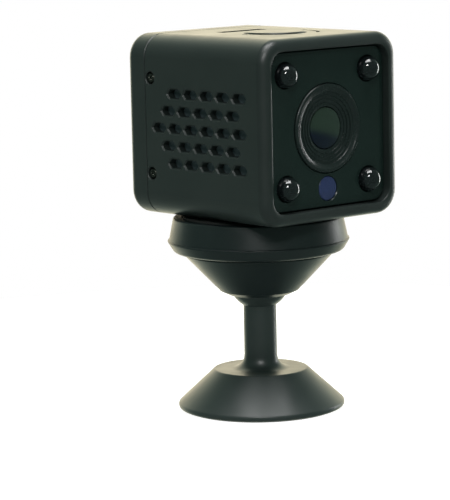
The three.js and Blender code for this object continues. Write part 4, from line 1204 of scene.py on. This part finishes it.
@dataclass
class FrontFace:
    """Set-back panel with four infrared lamps and the light sensor behind its window."""

    middle: float = CUBE_MIDDLE
    half: float = 16.1
    corner: float = 2.9
    front: float = -19.8
    back: float = -18.4
    lamp: float = 2.5
    lamp_spread: float = 11.5
    window: float = 2.5
    window_drop: float = 12.4
    bezel: float = 9.15

    def build(self) -> None:
        """Builds and dresses every piece of the front."""
        settle(self.panel(), PANEL, "camera", "panel_gloss", "front_panel")
        settle(self.board(), BLACK_BOARD, "camera", "circuit_board", "led_board")
        settle(self.glass(), WINDOW, "camera", "blue_window", "sensor_window")
        settle(self.cell(), CELL, "camera", "sensor_cell", "light_sensor")
        settle(self.track(), TINNED, "camera", "steel")
        settle(self.lamps(), EPOXY_PAINTED_SHADE, "camera", "smoked_epoxy", *[f"infrared_lamp_{i}" for i in (1, 2, 3, 4)])
        settle(self.lead_frames(), TINNED, "camera", "steel")

    def lamp_places(self, y: float = 0.0) -> list[Point]:
        """Centres of the four lamps at a depth."""
        return [(side * self.lamp_spread, y, self.middle + rise * self.lamp_spread)
                for rise in (1, -1) for side in (-1, 1)]

    def panel(self) -> bpy.types.Object:
        """Flat plate with its round openings, all edges softened."""
        size = 2 * self.half
        panel = drawn("front_panel_polished", rounded(size, size, self.corner, 8, (0.0, self.middle)),
                      Axis.Y, self.front, self.back, (0.2, 0.0))
        openings = [(self.bezel + 0.08, (0.0, 0.0, self.middle), 96),
                    (self.window + 0.1, (0.0, 0.0, self.middle - self.window_drop), 48),
                    *[(self.lamp + 0.2, place, 48) for place in self.lamp_places()]]
        return carve(panel, [
            turned("opening", [(0.0, self.front - 1), (radius + 1, self.front - 0.9),
                               (radius + 0.12, self.front),
                               (radius, self.front + 0.12), (radius, self.back + 1), (0.0, self.back + 1)],
                   Axis.Y, place, sides) for radius, place, sides in openings])

    def board(self) -> bpy.types.Object:
        """Lamp board behind the panel, open round the lens."""
        board = drawn("lamp_board", rounded(33.2, 33.2, 2.6, 5, (0.0, self.middle)), Axis.Y, -17.0, -16.0,
                      (0.1, 0.1))
        return carve(board, [turned("hole", [(0.0, -18.0), (6.6, -18.0), (6.6, -15.0), (0.0, -15.0)], Axis.Y,
                                    (0.0, 0.0, self.middle), 48)])

    def glass(self) -> bpy.types.Object:
        """Round tinted window with a rounded front edge."""
        low, high = self.front + 0.1, self.front + 1.3
        return turned("sensor_window_tinted", [
            (0.0, low), *round_edge(self.window, low, 0.2, True, False), (self.window, high), (0.0, high)],
            Axis.Y, (0.0, 0.0, self.middle - self.window_drop), 64)

    def cell(self) -> bpy.types.Object:
        """Round light cell."""
        return turned("light_cell", [
            (0.0, -17.98), *round_edge(2.1, -17.98, 0.1, True, False), (2.1, -17.3), (0.0, -17.3)], Axis.Y,
            (0.0, 0.0, self.middle - self.window_drop), 48)

    def track(self) -> bpy.types.Object:
        """Winding contact track on the light cell."""
        bars, low = [], self.middle - self.window_drop
        levels = [-1.2, -0.6, 0.0, 0.6, 1.2]
        for i, level in enumerate(levels):
            reach = math.sqrt(1.75 ** 2 - level ** 2)
            bars.append(block("bar", (2 * reach, 0.12, 0.2), (0.0, -18.04, low + level), 0.03))
            if i:
                side = 1 if i % 2 else -1
                edge = math.sqrt(1.75 ** 2 - max(abs(level), abs(levels[i - 1])) ** 2)
                bars.append(block("link", (0.2, 0.12, 0.8), (side * (edge - 0.1), -18.04, low + level - 0.3),
                                  0.03))
        return merged("light_cell_track", bars)

    def lamps(self) -> bpy.types.Object:
        """Four domed lamps."""
        lamp = turned("lamp", [
            (0.0, -17.3), (2.9, -17.3), (2.9, -18.0), (2.8, -18.1), (self.lamp, -18.1),
            *arc((0.0, -20.0), self.lamp, 0, -89.9, 18), (0.0, -22.5)], Axis.Y, sides=56)
        soften(lamp)
        # the dark tint of the lamps' epoxy is painted shade
        return Repeat.copies("infrared_lamps_smoked", lamp, self.lamp_places(), EPOXY_PAINTED_SHADE)

    def lead_frames(self) -> bpy.types.Object:
        """Reflector cup, post and bond wire inside each lamp."""
        cup = turned("cup", [
            (0.0, -17.6), (0.45, -17.6), (0.45, -18.4), (0.95, -18.9), (0.95, -19.5), (0.8, -19.5),
            (0.45, -19.15), (0.0, -19.15)], Axis.Y, sides=24)
        post = block("post", (0.5, 1.7, 0.9), (1.35, -18.5, 0.0), 0.08)
        die = block("die", (0.45, 0.2, 0.45), (0.0, -19.25, 0.0), 0.02)
        wire = [block("wire", (0.3, 0.07, 0.07),
                      (0.15 + 0.25 * i, -19.35 - 0.3 * math.sin(math.pi * i / 5), 0.0), 0.02)
                for i in range(6)]
        frame_piece = merged("frame", [cup, post, die, *wire])
        soften(frame_piece)
        return Repeat.copies("lamp_lead_frames", frame_piece, self.lamp_places(), TINNED)


@dataclass
class LensAssembly:
    """Stepped ring, barrel with its glass, holder and image sensor."""

    middle: float = CUBE_MIDDLE
    bezel: float = 9.15
    front: float = -20.2
    land: float = 0.9
    barrel: float = 6.0
    barrel_front: float = -18.9
    mouth: float = 4.42
    glass: float = 4.2
    ridges: tuple[float, ...] = (6.75, 5.95, 5.15)

    def build(self) -> None:
        """Builds and dresses every piece of the lens."""
        settle(self.ring(), RINGS, "camera", "panel_gloss", "lens_bezel")
        settle(self.tube(), RINGS, "camera", "panel_gloss", "lens_barrel")
        settle(self.element("front_lens_coated", self.glass, -19.8, 0.6, 2.2), LENS_PAINTED_REFLECTION, "camera",
               "lens_glass", "front_lens")
        settle(self.element("rear_lens_coated", 3.3, -10.3, 0.5, 1.2), GLASS, "camera", "lens_glass",
               "rear_lens")
        settle(block("filter_plate", (7.0, 0.4, 7.0), (0.0, -8.3, self.middle), 0.1), GLASS, "camera",
               "lens_glass", "infrared_filter")
        settle(self.holder(), CHIP, "camera", "shell_plastic", "lens_holder")
        settle(block("image_sensor_die", (7.6, 0.9, 6.6), (0.0, -6.55, self.middle), 0.12), SILICON,
               "camera", "silicon", "image_sensor")
        settle(block("sensor_board_green", (17.0, 1.0, 17.0), (0.0, -5.3, self.middle), 0.2), BOARD,
               "camera", "circuit_board", "sensor_board")

    def on_axis(self, name: str, profile: Outline, sides: int = 96) -> bpy.types.Object:
        """A profile turned about the lens axis."""
        return turned(name, profile, Axis.Y, (0.0, 0.0, self.middle), sides)

    def ring(self) -> bpy.types.Object:
        """Ring that steps down to the lens, with fine glare steps between."""
        front, inner = self.front, self.bezel - self.land
        ridges = [p for i, radius in enumerate(self.ridges)
                  for p in ((radius + 0.12, front + 0.56 + 0.12 * i),
                            (radius + 0.07, front + 0.42 + 0.12 * i),
                            (radius - 0.07, front + 0.42 + 0.12 * i),
                            (radius - 0.12, front + 0.62 + 0.12 * i))]
        return self.on_axis("lens_ring_stepped", [
            (self.bezel, -17.3), *arc((self.bezel - 0.35, front + 0.35), 0.35, 0, -90, 6),
            *arc((inner + 0.2, front + 0.2), 0.2, -90, -150, 4), (7.5, front + 0.42), (7.42, front + 0.56),
            *ridges, (self.mouth, front + 1.02), (self.mouth, self.barrel_front - 0.06),
            (6.3, self.barrel_front - 0.06), (6.3, -17.3)])

    def tube(self) -> bpy.types.Object:
        """Lens barrel with thread ridges outside and seats for both elements."""
        front = self.barrel_front
        ridges = [p for i in range(12)
                  for p in ((self.barrel, -16.2 + i * 0.55), (self.barrel - 0.15, -15.93 + i * 0.55))]
        return self.on_axis("lens_barrel_threaded", [
            (4.5, front), (self.barrel, front), *ridges, (self.barrel, -8.8), (3.6, -8.8), (3.6, -10.6),
            (3.0, -10.6), (3.0, -13.0), (3.3, -13.3), (3.3, -14.0), (3.6, -14.3), (3.6, -17.3),
            (4.5, -17.3)], 64)

    def element(self, name: str, radius: float, vertex: float, bulge: float,
                depth: float) -> bpy.types.Object:
        """A lens with a domed front.

        Args:
            name: Name of the object.
            radius: Its radius.
            vertex: Place of the front of the dome.
            bulge: Height of the dome.
            depth: Thickness in the middle.

        Returns:
            The object.
        """
        crown = [(radius * i / 12, vertex + bulge * (i / 12) ** 2) for i in range(13)]
        return self.on_axis(name, [*crown, (radius, vertex + depth), (0.0, vertex + depth)], 64)

    def holder(self) -> bpy.types.Object:
        """Square block round the barrel."""
        body = block("lens_holder_block", (15.0, 6.1, 15.0), (0.0, -9.15, self.middle), 0.4)
        return carve(body, [
            self.on_axis("bore", [(0.0, -14.0), (6.3, -14.0), (6.3, -8.5), (0.0, -8.5)], 48),
            block("room", (8.2, 6.1, 8.2), (0.0, -5.75, self.middle), 0.1)])


@dataclass
class TopControls:
    """Power button with its switch and board, status light, microphone and memory card."""

    button_y: float = BUTTON_Y
    button: float = 6.2
    top: float = 79.8

    def build(self) -> None:
        """Builds and dresses every piece under the top."""
        settle(self.cap(), SHELL, "top_button", "shell_plastic", "power_button")
        settle(self.card(), CARD, "card", "shell_plastic", "memory_card")
        settle(self.sleeve(), STEEL, "camera", "steel", "card_socket")
        settle(block("button_board_green", (20.0, 12.0, 0.8), (1.0, self.button_y, 70.2), 0.15), BOARD,
               "camera", "circuit_board", "button_board")
        settle(self.switch(), CHIP, "camera", "shell_plastic", "power_switch")
        settle(block("status_lamp_chip", (1.6, 0.8, 0.6), (*PIPE_PLACE, 71.2), 0.08), NYLON, "camera",
               "nylon", "status_lamp")
        settle(self.pipe(), CLEAR, "camera", "clear_acrylic", "light_pipe")
        settle(self.microphone(), STEEL, "camera", "steel", "microphone")

    def cap(self) -> bpy.types.Object:
        """Round button, hollow below, with a post and three lugs."""
        high = self.top + 0.3
        place = (0.0, self.button_y, 0.0)
        disc = turned("power_button_cap", [
            (0.0, 75.9), (1.45, 75.9), (1.6, 76.05), (1.6, high - 1.2), (5.2, high - 1.2), (5.2, high - 3.4),
            (self.button, high - 3.4), *round_edge(self.button, high, 0.3, True, True, 4), (0.0, high)],
            centre=place)
        lugs = []
        for angle in (45, 225, 315):
            lug = block("lug", (2.4, 2.4, 0.8), (6.2, 0.0, 77.1), 0.1)
            around = Matrix.Rotation(math.radians(angle), 4, "Z")
            turned_about(lug, Matrix.Translation(Vector(place) * MM) @ around)
            lugs.append(lug)
        return carve(disc, lugs, "UNION")

    def card(self) -> bpy.types.Object:
        """Memory card with a cut corner and a finger ridge on its end."""
        outline = [(-5.5, 64.5), (5.5, 64.5), (5.5, 79.5), (-4.5, 79.5), (-5.5, 78.5)]
        body = drawn("memory_card_body", outline, Axis.Y, 5.45, 6.15, (0.08, 0.08))
        return carve(body, [block("nick", (0.6, 2.0, 1.6), (5.5, SLOT_Y, 73.0), 0.1)])

    def sleeve(self) -> bpy.types.Object:
        """Folded metal sleeve for the card."""
        body = block("card_socket_sleeve", (12.6, 2.3, 12.5), (0.0, SLOT_Y, 69.85), 0.2)
        return carve(body, [block("room", (11.4, 1.1, 15.0), (0.0, SLOT_Y, 71.7), 0.05),
                            block("window", (5.0, 2.0, 4.0), (0.0, 7.0, 71.0), 0.2)])

    def switch(self) -> bpy.types.Object:
        """Push switch: square body with a round stem."""
        body = block("power_switch_body", (6.0, 6.0, 3.0), (0.0, self.button_y, 72.4), 0.2)
        stem = turned("stem", [(0.0, 73.5), (1.5, 73.5), *round_edge(1.5, 75.4, 0.2, True, True),
                               (0.0, 75.4)],
                      centre=(0.0, self.button_y, 0.0), sides=32)
        return carve(body, [stem], "UNION")

    def pipe(self) -> bpy.types.Object:
        """Light pipe with a domed tip in its pinhole."""
        return turned("status_light_pipe", [
            (0.0, 71.8), (0.4, 71.8), (0.4, 79.5), (0.28, 79.64), (0.0, 79.7)],
            centre=(*PIPE_PLACE, 0.0), sides=24)

    def microphone(self) -> bpy.types.Object:
        """Microphone can with its sound hole."""
        return turned("microphone_can", [
            (0.0, 70.9), (2.0, 70.9), *round_edge(2.0, 75.7, 0.3, True, True), (0.4, 75.7), (0.4, 75.3),
            (0.0, 75.3)], centre=(8.9, self.button_y, 0.0), sides=32)


@dataclass
class Electronics:
    """Main board, cell, antenna, and the rear board with its sockets."""

    middle: float = CUBE_MIDDLE
    board_y: float = 3.0

    def build(self) -> None:
        """Builds and dresses every piece inside."""
        settle(self.main_board(), BLACK_BOARD, "camera", "circuit_board", "main_board")
        settle(self.shield(), STEEL, "camera", "steel", "shield_can")
        settle(self.board_screws(), STEEL, "camera", "steel", "board_screw_1", "board_screw_2")
        settle(self.cell(), FOIL, "camera", "battery_foil", "battery")
        settle(block("antenna_strip", (4.4, 22.0, 0.4), (-11.8, 0.0, 77.5), 0.08), BOARD, "camera",
               "circuit_board", "antenna")
        settle(block("rear_board_masked", (18.0, 0.8, 28.0), (0.0, 14.9, self.middle), 0.15), BLACK_BOARD,
               "camera", "circuit_board", "rear_board")
        settle(self.usb(), STEEL, "camera", "steel", "usb_socket")
        settle(self.tongue(), CHIP, "camera", "panel_gloss", "usb_tongue")
        settle(self.reset(), CHIP, "camera", "shell_plastic", "reset_switch")
        settle(self.plunger(), NYLON, "reset_pin", "nylon", "reset_plunger")
        settle(self.small_parts(), CERAMIC, "camera", "circuit_board")

    def main_board(self) -> bpy.types.Object:
        """Board with its two screw holes."""
        board = block("main_board_masked", (33.2, 1.0, 30.0), (0.0, self.board_y + 0.5, self.middle), 0.15)
        return carve(board, [turned("hole", [(0.0, -2.0), (0.85, -2.0), (0.85, 2.0), (0.0, 2.0)], Axis.Y,
                                    (side * 15.5, self.board_y + 0.5, self.middle + side * 12.2), 24)
                             for side in (-1, 1)])

    def shield(self) -> bpy.types.Object:
        """Drawn can with a raised middle."""
        rings = [[placed(x, z, y, Axis.Y) for x, z in rounded(w, h, c, 4, (0.0, self.middle - 2.0))]
                 for w, h, c, y in ((16.0, 14.0, 0.8, 2.7), (16.0, 14.0, 0.8, 1.6), (15.6, 13.6, 0.7, 1.3),
                                    (12.4, 10.4, 0.6, 1.3), (12.0, 10.0, 0.5, 1.1))]
        return loft("shield_can_drawn", rings, Ends.CAPPED)

    def board_screws(self) -> bpy.types.Object:
        """Two small screws that hold the main board."""
        ridges = [p for i in range(7) for p in ((0.6, 3.9 - i * 0.6), (0.48, 3.6 - i * 0.6))]
        screw = turned("board_screw", [
            (0.0, 5.4), *reversed(round_edge(1.5, 5.4, 0.4, True, True)), (1.5, 4.3), (0.6, 4.3), *ridges,
            (0.0, -1.3)], Axis.Y, sides=24)
        carve(screw, cross_recess(1.8, 0.6, Axis.Y, 5.4, (0.0, 0.0), -1))
        soften(screw)
        return Repeat.copies("board_screws_steel", screw,
                             [(side * 15.5, 0.0, self.middle + side * 12.2) for side in (-1, 1)], STEEL)

    def cell(self) -> bpy.types.Object:
        """Pouch cell with pillowed faces and a flat seam round it."""
        levels = [(24.0, 25.5, 7.55), (25.6, 27.1, 7.9), (26.1, 27.6, 8.6), (26.1, 27.6, 10.3),
                  (26.5, 28.0, 10.45),
                  (26.5, 28.0, 10.65), (26.1, 27.6, 10.8), (26.1, 27.6, 12.5), (25.6, 27.1, 13.2),
                  (24.0, 25.5, 13.55)]
        rings = [[(x, y, z) for x, z in rounded(w, h, 1.5, 4, (0.0, self.middle))] for w, h, y in levels]
        return loft("battery_pouch", rings, Ends.CAPPED)

    def usb(self) -> bpy.types.Object:
        """Folded metal shell of the charging socket."""
        centre = (0.0, self.middle - 9.0)
        body = drawn("usb_shell_folded", rounded(7.6, 2.8, 0.9, 5, centre), Axis.Y, 15.6, 21.0, (0.1, 0.1))
        return carve(body, [drawn("room", rounded(6.8, 2.0, 0.6, 5, centre), Axis.Y, 16.0, 21.0,
                                  (0.0, -0.12))])

    def tongue(self) -> bpy.types.Object:
        """Contact tongue in the socket, with grooves between its contacts."""
        body = block("usb_tongue_bar", (3.6, 3.4, 0.7), (0.0, 18.0, self.middle - 9.0), 0.08)
        grooves = [block("groove", (0.22, 2.6, 0.3), (x, 18.6, self.middle - 9.0 + 0.35), 0.02)
                   for x in (-1.3, -0.65, 0.0, 0.65, 1.3)]
        return carve(body, grooves)

    def reset(self) -> bpy.types.Object:
        """Small square push switch with a folded frame."""
        body = block("reset_switch_body", (4.4, 1.7, 4.4), (0.0, 16.45, self.middle + 8.0), 0.15)
        boss = turned("boss", [(0.0, 17.0), (1.5, 17.0), *round_edge(1.5, 17.5, 0.1, True, True),
                               (0.0, 17.5)],
                      Axis.Y, (0.0, 0.0, self.middle + 8.0), 32)
        return carve(body, [boss], "UNION")

    def plunger(self) -> bpy.types.Object:
        """Round plunger behind the reset pinhole."""
        return turned("reset_plunger_pin", [
            (0.0, 17.8), (0.8, 17.8), *round_edge(0.8, 19.1, 0.25, True, True), (0.0, 19.1)], Axis.Y,
            (0.0, 0.0, self.middle + 8.0), 32)

    def small_parts(self) -> bpy.types.Object:
        """Chip resistors and capacitors on the boards."""
        groups = []
        for i, (size, cells, place) in enumerate([
                ((26.0, 10.0), (10, 4), (0.0, 3.0, self.middle + 10.0)),
                ((12.0, 12.0), (5, 5), (0.0, -4.8, self.middle)),
                ((13.0, 8.0), (5, 3), (0.0, 15.3, self.middle - 1.0))]):
            part = block("part", (1.2, 0.6, 0.5), (0.0, 0.0, 0.25), 0.06)
            turn = (90.0, 0.0, 0.0) if i == 0 else (-90.0, 0.0, 0.0)
            groups.append(Repeat.populate(f"parts_{i}", part, CERAMIC, size, cells, place, turn, 7 + i))
        return merged("board_parts_ceramic", groups)


# ---- Studio ----


@dataclass
class Viewpoint:
    """Where the camera stands. Angles in degrees, lengths in millimetres."""

    place: Point = (-363.7, -402.9, 114.7)
    azimuth: float = -41.32
    elevation: float = 8.47
    roll: float = -1.24
    lens: float = 186.84
    sensor: float = 36.0

    def build(self) -> None:
        """Makes the camera and sets it as the scene's."""
        turn, rise, roll = (math.radians(a) for a in (self.azimuth, self.elevation, self.roll))
        back = Vector((math.sin(turn) * math.cos(rise), -math.cos(turn) * math.cos(rise), math.sin(rise)))
        across = Vector((0.0, 0.0, 1.0)).cross(back).normalized()
        upward = back.cross(across)
        side = across * math.cos(roll) + upward * math.sin(roll)
        top = upward * math.cos(roll) - across * math.sin(roll)
        data = bpy.data.cameras.new("studio_camera")
        data.lens, data.sensor_width, data.sensor_fit = self.lens, self.sensor, "AUTO"
        data.clip_start, data.clip_end = 0.01, 20.0
        camera = bpy.data.objects.new("studio_camera", data)
        facing = Matrix((side, top, back)).transposed().to_4x4()
        camera.matrix_world = Matrix.Translation(Vector(self.place) * MM) @ facing
        bpy.context.scene.collection.objects.link(camera)
        bpy.context.scene.camera = camera


@dataclass(frozen=True)
class Softbox:
    """A soft rectangular lamp that looks at a target. Lengths in metres, power in watts."""

    name: str
    place: Point
    target: Point
    size: tuple[float, float]
    power: float

    def build(self) -> None:
        """Makes the lamp."""
        data = bpy.data.lights.new(self.name, "AREA")
        data.shape, data.energy = "RECTANGLE", self.power
        data.size, data.size_y = self.size
        lamp = bpy.data.objects.new(self.name, data)
        lamp.location = self.place
        lamp.rotation_euler = (Vector(self.target) - Vector(self.place)).to_track_quat("-Z", "Y").to_euler()
        bpy.context.scene.collection.objects.link(lamp)


@dataclass
class Studio:
    """Pale floor, even pale surroundings and soft lamps."""

    floor_radius: float = 0.16
    floor_drop: float = 0.02  # how far the floor lies below the object, in millimetres
    floor_colour: str = "#B8B8B6"
    floor_glow: float = 0.96  # so bright that the object's shadow on it hardly shows
    rear: Point = (0.62, 0.78, 0.0)  # direction in which the surroundings are brightest
    fade: tuple[float, float] = (0.45, 1.0)  # how squarely a ray runs that way where the fade starts and ends
    behind: float = 3.0  # brightness of the surroundings behind the object
    ahead: float = 0.23  # and in front of it
    warm: str = "#FFF3D2"
    cool: str = "#D6FFF2"
    softboxes: tuple[Softbox, ...] = (
        Softbox("overhead_softbox", (-0.05, -0.12, 0.75), (0.0, 0.0, 0.04), (0.5, 0.34), 7.0),
        Softbox("upper_left_softbox", (-0.42, -0.5, 0.5), (0.0, 0.0, 0.06), (0.12, 0.15), 2.2),
        Softbox("small_left_softbox", (-0.5, -0.42, 0.42), (0.0, 0.0, 0.06), (0.06, 0.05), 0.8),
        Softbox("right_strip", (0.5, -0.06, 0.04), (0.0, 0.0, 0.06), (0.05, 0.34), 0.8))

    def build(self) -> None:
        """Makes the floor, the surroundings and the lamps."""
        scene = bpy.context.scene
        scene.view_settings.view_transform = "Standard"
        scene.view_settings.look = "None"
        scene.world = self.surroundings()
        self.floor()
        for softbox in self.softboxes:
            softbox.build()

    def surroundings(self) -> bpy.types.World:
        """A white room, bright behind the object and dim ahead, so that black plastic shows its edges."""
        world = bpy.data.worlds.new("pale_surroundings")
        world.use_nodes = True
        tree = world.node_tree
        tree.nodes.clear()
        way = add_node(tree, "ShaderNodeVectorMath", {
            0: add_node(tree, "ShaderNodeTexCoord").outputs["Generated"], 1: self.rear},
            operation="DOT_PRODUCT")
        fade = add_node(tree, "ShaderNodeMapRange", {
            "Value": way.outputs["Value"], "From Min": self.fade[0], "From Max": self.fade[1]},
            interpolation_type="SMOOTHSTEP")
        level = add_node(tree, "ShaderNodeMapRange", {
            "Value": fade.outputs[0], "To Min": self.ahead, "To Max": self.behind})
        tint = add_node(tree, "ShaderNodeMix", {
            0: fade.outputs[0], 6: linear(self.cool), 7: linear(self.warm)}, data_type="RGBA")
        room = add_node(tree, "ShaderNodeBackground",
                        {"Color": tint.outputs[2], "Strength": level.outputs[0]})
        paper = add_node(tree, "ShaderNodeBackground", {"Color": (1.0, 1.0, 1.0, 1.0), "Strength": 1.0})
        seen = add_node(tree, "ShaderNodeLightPath").outputs["Is Camera Ray"]
        both = add_node(tree, "ShaderNodeMixShader", {0: seen, 1: room.outputs[0], 2: paper.outputs[0]})
        add_node(tree, "ShaderNodeOutputWorld", {"Surface": both.outputs[0]})
        return world

    def floor(self) -> None:
        """A plain round matt board under the object."""
        rim = [(x / MM, y / MM, -self.floor_drop) for x, y in arc((0.0, 0.0), self.floor_radius, 0, 354, 59)]
        floor = mesh_object("studio_floor", rim, [tuple(range(len(rim)))])
        material = bpy.data.materials.new("matt_white_board")
        material.use_nodes = True
        tree = material.node_tree
        tree.nodes.clear()
        shader = add_node(tree, "ShaderNodeBsdfPrincipled", {
            "Base Color": linear(self.floor_colour), "Roughness": 0.9, "Specular IOR Level": 0.2,
            "Emission Color": (1.0, 1.0, 1.0, 1.0), "Emission Strength": self.floor_glow})
        add_node(tree, "ShaderNodeOutputMaterial", {"Surface": shader.outputs["BSDF"]})
        floor.data.materials.append(material)
        floor.visible_glossy = False


def main() -> None:
    """Builds every sub-assembly in order."""
    logging.basicConfig(level=logging.INFO, format="%(name)s %(message)s")
    for assembly in (Viewpoint(), Studio(), StandFoot(), BallClamp(), Casing(), FrontFace(), LensAssembly(),
                     TopControls(), Electronics()):
        LOG.info("building %s", type(assembly).__name__)
        assembly.build()


if __name__ == "__main__":
    main()
